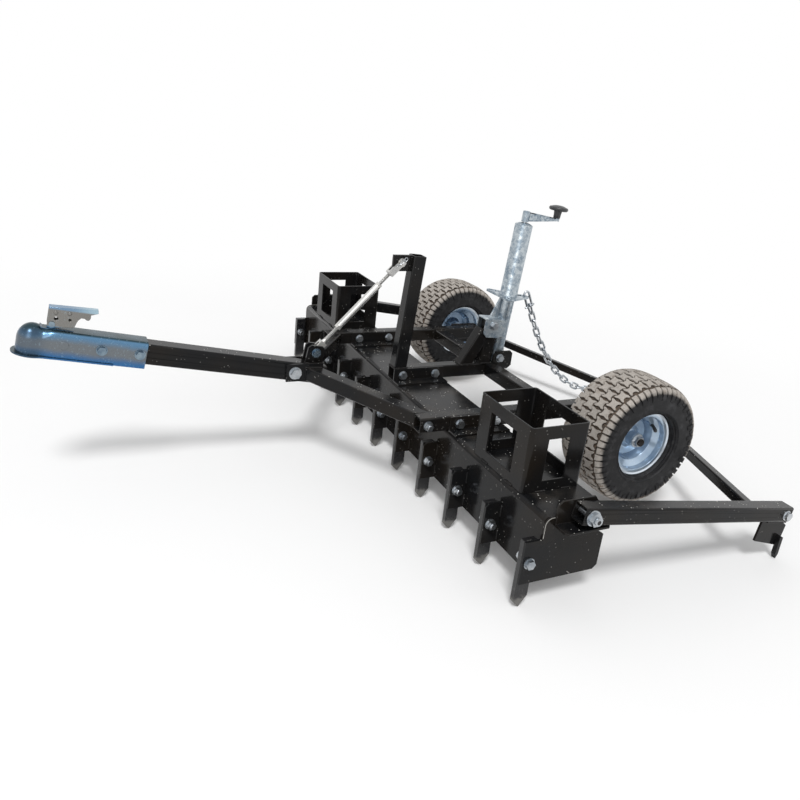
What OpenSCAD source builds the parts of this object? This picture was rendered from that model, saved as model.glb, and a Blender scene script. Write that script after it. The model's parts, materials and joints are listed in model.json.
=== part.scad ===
// Tow-behind soil pulverizer: a toothed tool bar with two weight baskets, carried on two gauge
// wheels and towed by a hinged drawbar. A lifting frame trails behind it and hangs from a crank jack.
//
// All sizes are in millimetres. The pieces are drawn in the machine frame: x points forward,
// y to the left and z up, with its zero at the middle of the tool bar's upper front edge.
// Every piece is then moved as one, so that the part's origin is on the ground, under the
// middle of its length.

/* [Tool bar] */
// Width over the outer faces of the two end plates
bar_w = 1524; // [1300:1:1700]
// Depth of the bent plate's top leg
bar_depth = 158; // [140:1:180]
// Height of the bent plate's front leg
bar_face = 147; // [130:1:158]
// Thickness of the bent plate
bar_t = 6; // [4:0.5:9]
// Outer radius of the bend
bar_bend_r = 10; // [9:0.5:14]
// Thickness of an end plate
end_t = 6; // [4:0.5:9]
// How far the tabs of end plates and lugs stand out in front
tab_reach = 40; // [38:0.5:50]
// Drop of the tabs' upper edge below the bar's top
tab_top = 48; // [30:1:60]

/* [Teeth] */
// Number of teeth
tooth_count = 11; // [7:1:13]
// Width of a tooth, front to rear
tooth_w = 32; // [26:0.5:34]
// Thickness of a tooth
tooth_t = 13; // [10:0.5:16]
// Drop of the tooth tips below the bar's top
tooth_drop = 207; // [190:1:230]
// Length of the bevelled point
tooth_point = 18; // [12:0.5:22]
// Space between a tooth's rear edge and the bar's face
tooth_gap = 8; // [2:0.5:9]
// Drop of the tooth bolts below the bar's top
tooth_bolt_drop = 98; // [88:1:108]
// Thickness of the lug beside each tooth
lug_t = 6; // [4:0.5:8]

/* [Weight baskets] */
// Length of a basket, front to rear
basket_l = 150; // [130:1:156]
// Width of a basket across the machine
basket_w = 202; // [170:1:220]
// Height of a basket
basket_h = 150; // [120:1:180]
// Sheet thickness of a basket
basket_t = 4.5; // [3:0.5:6]
// Outer radius of a basket's bent corners
basket_r = 9; // [8:0.5:14]
// Distance of a basket's middle from the bar's end
basket_inset = 198; // [162:1:232]
// Width of the front and rear windows
window_w = 100; // [80:1:120]
// Width of the side windows
window_l = 56; // [40:1:70]
// Height of the windows' lower edge
window_z = 25; // [15:1:35]
// Height of the windows
window_h = 96; // [60:1:100]

/* [Carrier frame] */
// Outer size of the square tubes
tube = 38; // [34:0.5:42]
// Wall of the square tubes
tube_t = 3; // [2:0.25:4]
// Corner radius of the square tubes
tube_r = 4.5; // [4:0.25:6]
// Distance of a rail's middle from the machine's middle
rail_y = 331; // [310:1:350]
// How far the rails reach in front of the bar
rail_front = 78; // [70:1:90]
// How far the rails reach behind the bar's front face
rail_rear = 488; // [485:1:500]
// Distance of the crossbeam's front face behind the bar's front face
beam_x = 302; // [280:1:310]
// Leg of the angle irons
angle_leg = 38; // [30:0.5:42]
// Thickness of the angle irons
angle_t = 5; // [4:0.5:6]
// Length of the angle irons
angle_l = 156; // [145:1:157]
// Diameter of the frame's bolts
bolt_d = 12; // [10:0.5:13]

/* [Hitch] */
// Distance of the drawbar's hinge in front of the bar
hinge_x = 291; // [280:1:310]
// Height of the drawbar's hinge over the bar's top
hinge_z = 49; // [46:0.5:54]
// Rise of the hitch legs from the rails to the hinge
leg_rise = 25; // [22:0.5:30]
// Thickness of the hinge ears
ear_t = 6; // [4:0.5:8]
// Outer size of the drawbar's square tube
drawbar = 51; // [48:0.5:54]
// Wall of the drawbar's tube
drawbar_t = 4; // [3:0.25:5]
// Upward slope of the drawbar
drawbar_pitch = 10.4; // [8:0.1:12]
// Length of the drawbar behind its hinge
drawbar_tail = 87; // [82:0.5:92]
// Distance from the hinge to the middle of the hitch ball
ball_s = 620; // [600:1:660]
// Diameter of the hitch ball
ball_d = 50.8; // [47.6:0.1:51]
// Length of the coupler over all
coupler_l = 279; // [265:1:290]
// Sheet thickness of the coupler
coupler_t = 4.8; // [4:0.1:5.5]
// Diameter of the hinge bolt
hinge_d = 16; // [12:0.5:18]

/* [Turnbuckle] */
// Distance of the turnbuckle's lower bolt in front of the bar
turn_x = 231; // [226:1:236]
// Height of the turnbuckle's lower bolt over the bar's top
turn_z = 96; // [92:1:100]
// Distance of the turnbuckle's upper pin in front of the bar
turn_top_x = 3; // [0:1:8]
// Height of the turnbuckle's upper pin over the bar's top
turn_top_z = 338; // [328:1:340]
// Diameter of the turnbuckle's sleeve
sleeve_d = 18; // [16:0.5:20]
// Diameter of the turnbuckle's rods
rod_d = 9; // [8:0.5:10]
// Height of the post's top over the bar's top
post_top = 358; // [355:1:370]
// Rearward lean of the post
post_lean = 4.4; // [3:0.1:5]

/* [Jack] */
// Distance of the jack's foot bolt behind the bar's front face
jack_x = 345; // [343:0.5:348]
// Height of the jack's foot bolt over the crossbeam
jack_foot_h = 17; // [16.5:0.5:20]
// Rearward lean of the jack
jack_lean = 4.4; // [3:0.1:5]
// Outer diameter of the inner tube
inner_d = 42; // [38:0.5:43]
// Outer diameter of the outer tube
outer_d = 51; // [50:0.5:54]
// Height of the flange's underside above the foot bolt
flange_h = 183; // [178:1:195]
// Height of the outer tube's top above the foot bolt
jack_top = 396; // [380:1:410]
// Distance of the flange's corners from the tube's middle
flange_reach = 60; // [56:0.5:66]
// Length of the crank's arm
crank_l = 108; // [95:1:120]
// Diameter of the crank's knob
knob_d = 56; // [44:1:60]

/* [Lifting frame] */
// Distance of the frame's pivots behind the bar's front face
pivot_x = 75; // [70:1:85]
// Height of the frame's pivots over the bar's top
pivot_z = 17; // [15:0.5:19]
// Downward slope of the frame towards the rear
rake_slope = 9; // [8:0.1:9.5]
// Length of an arm behind its pivot
arm_l = 632; // [610:1:650]
// Distance from the pivots to the V's rear corner
apex_l = 852; // [830:1:880]
// Outer size of the V's square tubes
vee_tube = 25; // [22:0.5:30]
// Wall of the V's square tubes
vee_t = 2.5; // [2:0.25:3]
// Diameter of the pivot bolts
pivot_d = 16; // [12:0.5:18]
// Height of the tine plates
plate_h = 60; // [50:1:64]
// Length of the tine plates
plate_l = 95; // [80:1:105]

/* [Chain] */
// Number of links
link_count = 21; // [20:1:23]
// Diameter of a link's wire
link_d = 6; // [5:0.25:6.5]
// Inner length of a link
link_l = 28; // [28:0.25:29]
// Inner width of a link
link_w = 10; // [9:0.25:11]

/* [Wheels] */
// Outer diameter of a tyre
tyre_d = 330; // [310:1:340]
// Width of a tyre
tyre_w = 165; // [150:1:175]
// Depth of the tread's grooves
tread_depth = 6; // [4:0.5:7]
// Number of tread blocks round a tyre
tread_count = 36; // [24:1:40]
// Diameter of the rim's bead seat
rim_d = 152.4; // [148:0.1:156]
// Width of the rim over its flanges
rim_w = 106; // [98:1:112]
// Distance of a wheel's middle from the machine's middle
wheel_y = 473; // [466:1:490]
// Distance of the axles behind the bar's front face
wheel_x = 465; // [460:1:468]
// Drop of the axles below the bar's top
wheel_drop = 2; // [0:0.5:6]
// Diameter of the axles
axle_d = 19; // [16:0.5:20]

/* [Hidden] */
$fn = 48;

// Colours of the finishes
black = [0.035, 0.035, 0.04];
bare = [0.5, 0.49, 0.47];
zinc = [0.78, 0.8, 0.82];
blue_zinc = [0.62, 0.7, 0.78];
galvanised = [0.6, 0.65, 0.68];
rubber = [0.09, 0.085, 0.08];
rim_silver = [0.85, 0.87, 0.9];
knob_grey = [0.2, 0.2, 0.21];

// Clearances: a running fit in a bore, a bolt in its hole, and a gap beside a moving plate
fit = 0.05;
hole_play = 0.5;
side_gap = 0.5;
// A length past a surface, for cuts that run right through
past = 1;
far = 3000;

half_w = bar_w / 2;
basket_y = half_w - basket_inset;
half_tube = tube / 2;
tooth_pitch = (bar_w - 2 * end_t - tooth_t) / (tooth_count - 1);
function tooth_y(i) = half_w - end_t - tooth_t / 2 - i * tooth_pitch;
tooth_mid_x = tooth_gap + tooth_w / 2;
bolt_hole = bolt_d + 2 * hole_play;

// Middle of the part's length, from the coupler's lip to the V's rear corner
nose_r = ball_d / 2 + coupler_t + 1;
lip_w = 4;
lip_t = 3.5;
lip_drop = 34;
front_x = hinge_x + (ball_s + nose_r + lip_w) * cos(drawbar_pitch) + lip_drop * sin(drawbar_pitch);
rear_x = -pivot_x - apex_l * cos(rake_slope) - vee_tube / 2 * sin(rake_slope);
mid_x = (front_x + rear_x) / 2;

// Moves a piece from the machine frame to the part's own frame
module placed() {
    translate([-mid_x, 0, tooth_drop]) children();
}

// A copy of a left piece on the right
module right_side() {
    mirror([0, 1, 0]) children();
}

// Rectangle with round corners
module round_rect(w, h, r) {
    square([w - 2 * r, h], center = true);
    square([w, h - 2 * r], center = true);
    for (x = [-1, 1], y = [-1, 1])
        translate([x * (w / 2 - r), y * (h / 2 - r)]) circle(r);
}

// Section of a square tube
module tube_section(size, wall, r) {
    difference() {
        round_rect(size, size, r);
        round_rect(size - 2 * wall, size - 2 * wall, max(r - wall, 0.5));
    }
}

// Square tube along +X from x = 0
module tube_x(length, size = tube, wall = tube_t, r = tube_r) {
    rotate([90, 0, 90]) linear_extrude(length) tube_section(size, wall, r);
}

// Square tube along +Z from z = 0
module tube_z(length, size = tube, wall = tube_t, r = tube_r) {
    linear_extrude(length) tube_section(size, wall, r);
}

// Plate drawn in x and z, with its faces at y and y + t
module plate_y(y, t) {
    translate([0, y + t, 0]) rotate([90, 0, 0]) linear_extrude(t) children();
}

// Hole along Y through everything
module hole_y(x, z, d) {
    translate([x, 0, z]) rotate([90, 0, 0]) cylinder(h = far, d = d, center = true);
}

// Rod along Y from y0 to y1
module rod_y(x, z, y0, y1, d) {
    translate([x, y0, z]) rotate([-90, 0, 0]) cylinder(h = y1 - y0, d = d);
}

// Hexagon bolt along Y: the shank fills y0 to y1, its head lies outside y0, its nut outside y1,
// and a washer lies under each
module bolt_y(x, z, y0, y1, d = bolt_d) {
    washer = 2;
    out = y1 > y0 ? 1 : -1;
    head = 0.65 * d;
    nut = 0.85 * d;
    stub = 0.35 * d;
    translate([x, y0, z]) rotate([out > 0 ? -90 : 90, 0, 0]) {
        translate([0, 0, -washer]) cylinder(h = washer, d = 2.1 * d);
        translate([0, 0, -washer - head]) cylinder(h = head, d = 1.75 * d, $fn = 6);
        translate([0, 0, -washer - head])
            cylinder(h = abs(y1 - y0) + 2 * washer + head + nut + stub, d = d);
        translate([0, 0, abs(y1 - y0)]) cylinder(h = washer, d = 2.1 * d);
        translate([0, 0, abs(y1 - y0) + washer]) cylinder(h = nut, d = 1.75 * d, $fn = 6);
    }
}

// Tool bar and teeth

module tool_bar() {
    color(black) placed() rotate([90, 0, 0]) linear_extrude(bar_w - 2 * end_t, center = true) {
        translate([-bar_depth, -bar_t]) square([bar_depth - bar_bend_r, bar_t]);
        translate([-bar_t, -bar_face]) square([bar_t, bar_face - bar_bend_r]);
        translate([-bar_bend_r, -bar_bend_r]) intersection() {
            difference() {
                circle(bar_bend_r);
                circle(bar_bend_r - bar_t);
            }
            square(bar_bend_r);
        }
    }
}

// Outline of an end plate, with the round upper front corner and the tab that holds the end tooth
module end_outline() {
    corner = 16;
    chamfer = 10;
    slope_x = 60;
    rear_drop = 62;
    difference() {
        union() {
            translate([-corner, -corner]) circle(corner);
            polygon([[-corner, 0], [-slope_x, 0], [-bar_depth, -rear_drop],
                [-bar_depth, -bar_face + chamfer], [-bar_depth + chamfer, -bar_face],
                [tab_reach, -bar_face], [tab_reach, -tab_top], [0, -tab_top], [0, -corner],
                [-corner, -corner]]);
        }
        translate([tooth_mid_x, -tooth_bolt_drop]) circle(d = bolt_hole);
    }
}

module end_plate_left() {
    color(black) placed() plate_y(half_w - end_t, end_t) end_outline();
}

module end_plate_right() {
    color(black) placed() right_side() plate_y(half_w - end_t, end_t) end_outline();
}

module tooth_lugs() {
    nick = 7;
    color(black) placed() for (i = [1 : tooth_count - 2])
        plate_y(tooth_y(i) + tooth_t / 2, lug_t) difference() {
            polygon([[0, -tab_top], [tab_reach - nick, -tab_top], [tab_reach, -tab_top - nick],
                [tab_reach, -bar_face], [0, -bar_face]]);
            translate([tooth_mid_x, -tooth_bolt_drop]) circle(d = bolt_hole);
        }
}

module teeth() {
    tip = tooth_gap + tooth_w * 0.58;
    color(bare) placed() for (i = [0 : tooth_count - 1])
        plate_y(tooth_y(i) - tooth_t / 2, tooth_t) difference() {
            polygon([[tooth_gap, -tab_top], [tooth_gap + tooth_w, -tab_top],
                [tooth_gap + tooth_w, -tooth_drop + tooth_point * 0.72], [tip, -tooth_drop],
                [tooth_gap, -tooth_drop + tooth_point * 1.4]]);
            translate([tooth_mid_x, -tooth_bolt_drop]) circle(d = bolt_hole);
        }
}

module tooth_bolts() {
    grip = tooth_t / 2;
    last = tooth_count - 1;
    color(zinc) placed() {
        bolt_y(tooth_mid_x, -tooth_bolt_drop, half_w, tooth_y(0) - grip);
        for (i = [1 : last - 1])
            bolt_y(tooth_mid_x, -tooth_bolt_drop, tooth_y(i) - grip, tooth_y(i) + grip + lug_t);
        bolt_y(tooth_mid_x, -tooth_bolt_drop, -half_w, tooth_y(last) + grip);
    }
}

// Weight baskets

module basket_left() {
    middle_x = -(bar_depth - 1) / 2 - 1;
    color(black) placed() translate([middle_x, basket_y, 0]) difference() {
        linear_extrude(basket_h) difference() {
            round_rect(basket_l, basket_w, basket_r);
            round_rect(basket_l - 2 * basket_t, basket_w - 2 * basket_t, basket_r - basket_t);
        }
        translate([-basket_l, -window_w / 2, window_z]) cube([2 * basket_l, window_w, window_h]);
        translate([-window_l / 2, -basket_w, window_z]) cube([window_l, 2 * basket_w, window_h]);
    }
}

module basket_right() {
    right_side() basket_left();
}

// Carrier frame

rail_bolt_xs = [-28, -131];
front_bolt_x = rail_front - 21;

module rail(y) {
    difference() {
        translate([-rail_rear, y, half_tube]) tube_x(rail_rear + rail_front);
        for (x = rail_bolt_xs)
            hole_y(x, half_tube, bolt_hole);
        hole_y(front_bolt_x, half_tube, bolt_hole);
    }
}

module rail_left() {
    color(black) placed() rail(rail_y);
}

module rail_right() {
    color(black) placed() rail(-rail_y);
}

// Angle iron on the left side of a bar whose middle is at y
module angle_iron(y) {
    side = y + half_tube;
    difference() {
        translate([-angle_l - 1, side, 0]) union() {
            cube([angle_l, angle_t, tube]);
            cube([angle_l, angle_leg, angle_t]);
        }
        for (x = rail_bolt_xs)
            hole_y(x, half_tube, bolt_hole);
    }
}

module angle_left() {
    color(black) placed() angle_iron(rail_y);
}

module angle_centre() {
    color(black) placed() angle_iron(0);
}

module angle_right() {
    color(black) placed() angle_iron(-rail_y);
}

module rail_bolts() {
    color(zinc) placed() {
        for (y = [rail_y, 0, -rail_y], x = rail_bolt_xs)
            bolt_y(x, half_tube, y + half_tube + angle_t, y - half_tube);
        bolt_y(front_bolt_x, half_tube, rail_y - half_tube - leg_cap_t, rail_y + half_tube);
        bolt_y(front_bolt_x, half_tube, -rail_y + half_tube + leg_cap_t, -rail_y - half_tube);
    }
}

module centre_bar() {
    color(black) placed() difference() {
        translate([-beam_x, 0, half_tube]) tube_x(beam_x - 2);
        for (x = rail_bolt_xs)
            hole_y(x, half_tube, bolt_hole);
    }
}

module crossbeam() {
    length = 2 * (rail_y - half_tube);
    color(black) placed() translate([-beam_x - half_tube, -length / 2, half_tube])
        rotate([0, 0, 90]) tube_x(length);
}

// Hitch legs: each runs from a rail's inner face to a hinge ear and is cut flush with both

leg_cap_t = 5;
ear_in = drawbar / 2 + side_gap;
ear_out = ear_in + ear_t;
leg_rear_y = rail_y - half_tube;
leg_front_x = hinge_x - 28;
leg_run = [leg_front_x - rail_front, leg_rear_y - ear_out];
leg_turn = atan2(leg_run[0], leg_run[1]);
leg_plan = norm(leg_run);
leg_tilt = atan2(leg_rise, leg_plan);

// The leg's tube, longer than needed at both ends, with its outer face through both corners
module leg_bar(wall_only) {
    extra = 90;
    translate([rail_front, leg_rear_y, half_tube]) rotate([0, 0, leg_turn - 90])
        rotate([0, -leg_tilt, 0]) translate([-extra, -half_tube, 0])
            if (wall_only) tube_x(leg_plan + 2 * extra);
            else translate([0, -half_tube, -half_tube]) cube([leg_plan + 2 * extra, tube, tube]);
}

module hitch_leg_left() {
    color(black) placed() difference() {
        union() {
            leg_bar(true);
            intersection() {
                leg_bar(false);
                translate([-far / 2, leg_rear_y - leg_cap_t, -far / 2]) cube([far, leg_cap_t, far]);
            }
        }
        translate([-far / 2, leg_rear_y, -far / 2]) cube(far);
        translate([-far / 2, ear_out - far, -far / 2]) cube(far);
        hole_y(front_bolt_x, half_tube, bolt_hole);
    }
}

module hitch_leg_right() {
    right_side() hitch_leg_left();
}

module hinge_ears() {
    reach = 24;
    tail = 52;
    half_h = 24;
    color(black) placed() for (side = [0, 1]) mirror([0, side, 0])
        plate_y(ear_in, ear_t) difference() {
            translate([hinge_x - tail - reach, hinge_z - half_h]) square([tail + 2 * reach, 2 * half_h]);
            translate([hinge_x, hinge_z]) circle(d = hinge_d + 2 * fit);
        }
}

module hinge_bolt() {
    color(zinc) placed() bolt_y(hinge_x, hinge_z, ear_out, -ear_out, hinge_d);
}

// Post for the turnbuckle

lug_half = 4;

module post() {
    foot_x = -22;
    lug_drop = 24;
    lug_front = 24;
    color(black) placed() difference() {
        union() {
            difference() {
                translate([foot_x, 0, tube]) rotate([0, -post_lean, 0])
                    translate([0, 0, -tube]) tube_z(post_top);
                translate([-far / 2, -far / 2, -far + tube]) cube(far);
                translate([-far / 2, -far / 2, post_top]) cube(far);
            }
            difference() {
                plate_y(-lug_half, 2 * lug_half) translate([foot_x - 8, turn_top_z - lug_drop])
                    square([turn_top_x - foot_x + 8 + lug_front, post_top - turn_top_z + lug_drop]);
                translate([foot_x, 0, tube]) rotate([0, -post_lean, 0])
                    translate([-half_tube, -half_tube, 0]) cube([tube, tube, far]);
            }
        }
        hole_y(turn_top_x, turn_top_z, pin_d + 2 * pin_play);
    }
}

// Jack: its frame has z along the tubes from the foot bolt, and x square to them

jack_z = tube + jack_foot_h;
inner_r = inner_d / 2;
upright_a = inner_r + 2 + half_tube;
bracket_h = 97;
upright_top = bracket_h + 14;
cheek_t = 4;
cheek_y = half_tube + 0.3;

module on_jack() {
    translate([-jack_x, 0, jack_z]) rotate([0, -jack_lean, 0]) children();
}

// Everything below the upper face of the carrier's tubes
module below_tubes() {
    translate([-far / 2, -far / 2, tube - far]) cube(far);
}

module jack_upright() {
    color(black) placed() difference() {
        on_jack() difference() {
            translate([upright_a, 0, -2 * tube]) tube_z(upright_top + 2 * tube);
            hole_y(upright_a, bracket_h, bolt_hole);
        }
        below_tubes();
    }
}

module jack_strut() {
    strut_lean = 29;
    foot_x = -236;
    color(black) placed() difference() {
        translate([foot_x, 0, tube]) rotate([0, -strut_lean, 0]) translate([0, 0, -tube]) tube_z(4 * tube);
        below_tubes();
        on_jack() translate([upright_a + half_tube - far, -far / 2, -far / 2]) cube(far);
    }
}

module jack_foot_ears() {
    ear_half = inner_r + side_gap;
    top = jack_z + 21;
    rear = -jack_x - 44;
    back = -beam_x - tube;
    color(black) placed() for (side = [0, 1]) mirror([0, side, 0])
        plate_y(ear_half, 5) difference() {
            polygon([[back + 18, tube], [back + 18, top - 12], [back + 8, top], [rear + 8, top],
                [rear, top - 8], [rear, tube - 8], [rear + 12, tube - 18], [back, tube - 18],
                [back, tube]]);
            translate([-jack_x, jack_z]) circle(d = bolt_hole);
        }
}

module jack_bolts() {
    foot_half = inner_r + side_gap + 5;
    cheek_out = cheek_y + cheek_t;
    color(zinc) placed() {
        bolt_y(-jack_x, jack_z, foot_half, -foot_half);
        on_jack() bolt_y(upright_a, bracket_h, cheek_out, -cheek_out);
    }
}

// Bracket that ties the jack's inner tube to the upright: two cheeks, a roof and a gusset
module jack_bracket() {
    cheek_bottom = bracket_h - 36;
    cheek_top = bracket_h + 16;
    cheek_front = upright_a + half_tube + 12;
    roof = cheek_top + cheek_t;
    color(galvanised) placed() on_jack() difference() {
        union() {
            for (side = [0, 1]) mirror([0, side, 0]) plate_y(cheek_y, cheek_t)
                polygon([[0, cheek_bottom + 8], [20, cheek_bottom], [cheek_front - 12, cheek_bottom],
                    [cheek_front, cheek_bottom + 12], [cheek_front, roof], [0, roof]]);
            translate([0, -cheek_y, cheek_top]) cube([cheek_front, 2 * cheek_y, cheek_t]);
            plate_y(-3, 6) polygon([[0, roof], [cheek_front - 24, roof], [inner_r + 5, flange_h - 3],
                [0, flange_h - 3]]);
        }
        translate([0, 0, -far / 2]) cylinder(h = far, r = inner_r + fit);
        hole_y(upright_a, bracket_h, bolt_hole);
    }
}

inner_wall = 3.2;
jack_bore = inner_d + 2 * fit;
cap_t = 6;
inner_top = jack_top - cap_t - 8;
screw_d = 14;
nut_l = 24;

module jack_inner_tube() {
    foot_end = jack_foot_h - inner_r * sin(jack_lean) - 1;
    color(galvanised) placed() on_jack() difference() {
        translate([0, 0, -foot_end]) cylinder(h = inner_top + foot_end, d = inner_d);
        translate([0, 0, -far / 2]) cylinder(h = far, d = inner_d - 2 * inner_wall);
        hole_y(0, 0, bolt_hole);
    }
}

module jack_nut() {
    color(bare) placed() on_jack() translate([0, 0, inner_top - nut_l]) difference() {
        cylinder(h = nut_l, d = inner_d - 2 * inner_wall);
        translate([0, 0, -past]) cylinder(h = nut_l + 2 * past, d = screw_d + 2 * fit);
    }
}

flange_t = 6;
flange_hole_d = 13;

// Outer tube with its domed cap and the three-cornered flange at its foot
module jack_outer_tube() {
    color(galvanised) placed() on_jack() difference() {
        union() {
            translate([0, 0, flange_h]) cylinder(h = jack_top - flange_h, d = outer_d);
            translate([0, 0, jack_top]) rotate_extrude() intersection() {
                translate([0, -outer_d * 0.85]) circle(r = outer_d * 0.986);
                square([outer_d / 2, outer_d]);
            }
            translate([0, 0, flange_h]) cylinder(h = flange_t + 5, d1 = outer_d + 8, d2 = outer_d);
            translate([0, 0, flange_h]) linear_extrude(flange_t) flange_outline(flange_corner_r);
        }
        translate([0, 0, -past]) cylinder(h = jack_top - cap_t + past, d = jack_bore);
        translate([0, 0, -past]) cylinder(h = far, d = screw_d + 2 * fit);
        for (a = [60, 180, 300])
            rotate([0, 0, a]) translate([flange_reach, 0, 0]) cylinder(h = far / 4, d = flange_hole_d);
    }
}

// Triangle with round corners, one of them pointing to the rear
module flange_outline(r) {
    corners = [for (a = [60, 180, 300]) flange_reach * [cos(a), sin(a)]];
    for (i = [0 : 2]) {
        a = corners[i];
        b = corners[(i + 1) % 3];
        out = [cos(120 * i + 120), sin(120 * i + 120)] * r;
        translate(a) circle(r);
        polygon([a + out, b + out, [0, 0]]);
    }
}

// Crank: the screw runs down through the cap into the nut, and turns with the arm

crank_h = jack_top + outer_d * 0.136 + 2;
arm_z = 24;
grip_d = 22;
grip_h = 30;
cap_h = 12;
stem_d = 9;
stem_in = 33;
knob_low = arm_z - 3 + side_gap;
screw_tail = 190;

module jack_screw() {
    low = inner_top - nut_l - screw_tail;
    color(zinc) placed() on_jack() translate([0, 0, low]) cylinder(h = crank_h + arm_z - low, d = screw_d);
}

module crank_arm() {
    hub_d = 22;
    arm_t = 6;
    color(galvanised) placed() on_jack() translate([0, 0, crank_h]) {
        difference() {
            union() {
                cylinder(h = arm_z, d = hub_d);
                translate([0, 0, arm_z - 9]) linear_extrude(arm_t) difference() {
                    union() {
                        polygon([[0, -hub_d / 2], [0, hub_d / 2], [-crank_l, 8], [-crank_l, -8]]);
                        translate([-crank_l, 0]) circle(8);
                    }
                    circle(d = screw_d + 2 * fit);
                }
            }
            translate([0, 0, -past]) cylinder(h = arm_z + 2 * past, d = screw_d + 2 * fit);
        }
        translate([-crank_l, 0, arm_z - 9]) cylinder(h = knob_low + stem_in - arm_z + 9, d = stem_d);
    }
}

module crank_knob() {
    dome_r = knob_d * 0.7;
    edge = 2;
    color(knob_grey) placed() on_jack() translate([-crank_l, 0, crank_h + knob_low]) difference() {
        rotate_extrude() {
            square([grip_d / 2, grip_h]);
            translate([0, grip_h]) intersection() {
                translate([0, cap_h - dome_r]) circle(dome_r);
                square([knob_d / 2 - edge, cap_h]);
            }
            translate([knob_d / 2 - edge, grip_h + edge]) circle(edge);
        }
        translate([0, 0, -past]) cylinder(h = stem_in + side_gap + past, d = stem_d + 2 * fit);
    }
}

// Chain from the flange to the V's corner. The links hang as a row of equal weights does: the slope
// of each is that of the one before it plus a fixed step.

shackle_d = 7;
shackle_l = 36;
shackle_w = 17;
shackle_lean = 26;
flange_corner_r = 12;
flange_eye = [-jack_x - (flange_h + flange_t / 2) * sin(jack_lean) - flange_reach * cos(jack_lean),
    jack_z + (flange_h + flange_t / 2) * cos(jack_lean) - flange_reach * sin(jack_lean)];
link_pitch = link_l - 0.4;
link_lap = (link_l + 2 * link_d - link_pitch) / 2 - link_d / 2;
chain_start = flange_eye + (shackle_l - link_lap) * [-sin(shackle_lean), -cos(shackle_lean)]
    + shackle_w / 2 * [-cos(shackle_lean), sin(shackle_lean)];

eye_t = 6;
eye_hole = 18;
eye_u = apex_l - 46;
eye_w = vee_tube / 2 + 44;
// The last link's wire rests near the front of the eye
hook_u = eye_u - (eye_hole - link_d) / 2 + 2 - link_lap;
chain_end = [-pivot_x - hook_u * cos(rake_slope) - eye_w * sin(rake_slope),
    pivot_z - hook_u * sin(rake_slope) + eye_w * cos(rake_slope)];
chain_span = chain_end - chain_start;

function sum_x(s, c, k = 0) = k == link_count ? 0
    : link_pitch / sqrt(1 + pow(s + c * k, 2)) + sum_x(s, c, k + 1);
function sum_z(s, c, k = 0) = k == link_count ? 0
    : link_pitch * (s + c * k) / sqrt(1 + pow(s + c * k, 2)) + sum_z(s, c, k + 1);
// First slope that makes the row end on the line to the eye
function first_slope(c, lo = -9, hi = 3, n = 26) = n == 0 ? (lo + hi) / 2
    : let (m = (lo + hi) / 2, rise = sum_z(m, c) / sum_x(m, c) * -chain_span[0])
        rise > chain_span[1] ? first_slope(c, lo, m, n - 1) : first_slope(c, m, hi, n - 1);
function row_reach(c) = let (s = first_slope(c)) norm([sum_x(s, c), sum_z(s, c)]);
// Step in slope that makes the row end at the eye
function slope_step(lo = 0, hi = 1.2, n = 26) = n == 0 ? (lo + hi) / 2
    : let (m = (lo + hi) / 2)
        row_reach(m) > norm(chain_span) ? slope_step(m, hi, n - 1) : slope_step(lo, m, n - 1);

// One link along +X, from joint to joint
module link() {
    r = (link_w + link_d) / 2;
    straight = link_l - link_w;
    for (side = [-1, 1]) {
        translate([-straight / 2, side * r, 0]) rotate([0, 90, 0]) cylinder(h = straight, d = link_d);
        translate([side * straight / 2, 0, 0]) rotate([0, 0, side * 90 - 180])
            rotate_extrude(angle = 180) translate([r, 0]) circle(d = link_d);
    }
}

module lift_chain() {
    c = slope_step();
    s = first_slope(c);
    // Each link is rolled against the last, so that both end links lie across their pins
    roll = 90 * (1 + ((link_count + 1) % 2) / (link_count - 1));
    color(zinc) placed() for (k = [0 : link_count - 1]) {
        slope = s + c * k;
        x0 = chain_start[0] - (sum_x(s, c) - sum_x(s, c, k));
        z0 = chain_start[1] + (sum_z(s, c) - sum_z(s, c, k));
        tilt = atan(slope);
        translate([x0, 0, z0]) rotate([0, tilt, 0]) translate([-link_pitch / 2, 0, 0])
            rotate([k * roll, 0, 0]) link();
    }
}

// Shackle: a long bow through the flange's rear hole, closed by a pin that carries the first link
module chain_shackle() {
    r = shackle_w / 2;
    bow = 4;
    pin_half = r + shackle_d / 2 + 4;
    color(zinc) placed() translate([flange_eye[0], 0, flange_eye[1]]) rotate([0, shackle_lean, 0])
        translate([-r, 0, 0]) {
            translate([0, 0, bow]) rotate([90, 0, 0]) rotate_extrude(angle = 180)
                translate([r, 0]) circle(d = shackle_d);
            for (side = [-1, 1]) {
                translate([side * r, 0, -shackle_l]) cylinder(h = shackle_l + bow, d = shackle_d);
                translate([side * r, 0, -shackle_l]) sphere(d = shackle_d + 3);
            }
            translate([-pin_half, 0, -shackle_l]) rotate([0, 90, 0]) cylinder(h = 2 * pin_half, d = link_d);
        }
}

// Lifting frame: its own frame has x forward along the arms and zero at the pivots

arm_in = half_w + 6;
arm_y = arm_in + half_tube;
arm_nose = 20;
rear_bolt_u = arm_l - 20;
// The V's tubes meet the arms this far in front of the rear bolts
vee_gap = 78;
vee_sweep = atan((apex_l - rear_bolt_u + vee_gap) / arm_in);

module on_rake() {
    translate([-pivot_x, 0, pivot_z]) rotate([0, -rake_slope, 0]) children();
}

module rake_arm_left() {
    color(black) placed() on_rake() difference() {
        translate([-arm_l, arm_y, 0]) tube_x(arm_l + arm_nose);
        hole_y(0, 0, pivot_d + 2 * fit);
        hole_y(-rear_bolt_u, 0, bolt_hole);
    }
}

module rake_arm_right() {
    right_side() rake_arm_left();
}

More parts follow.
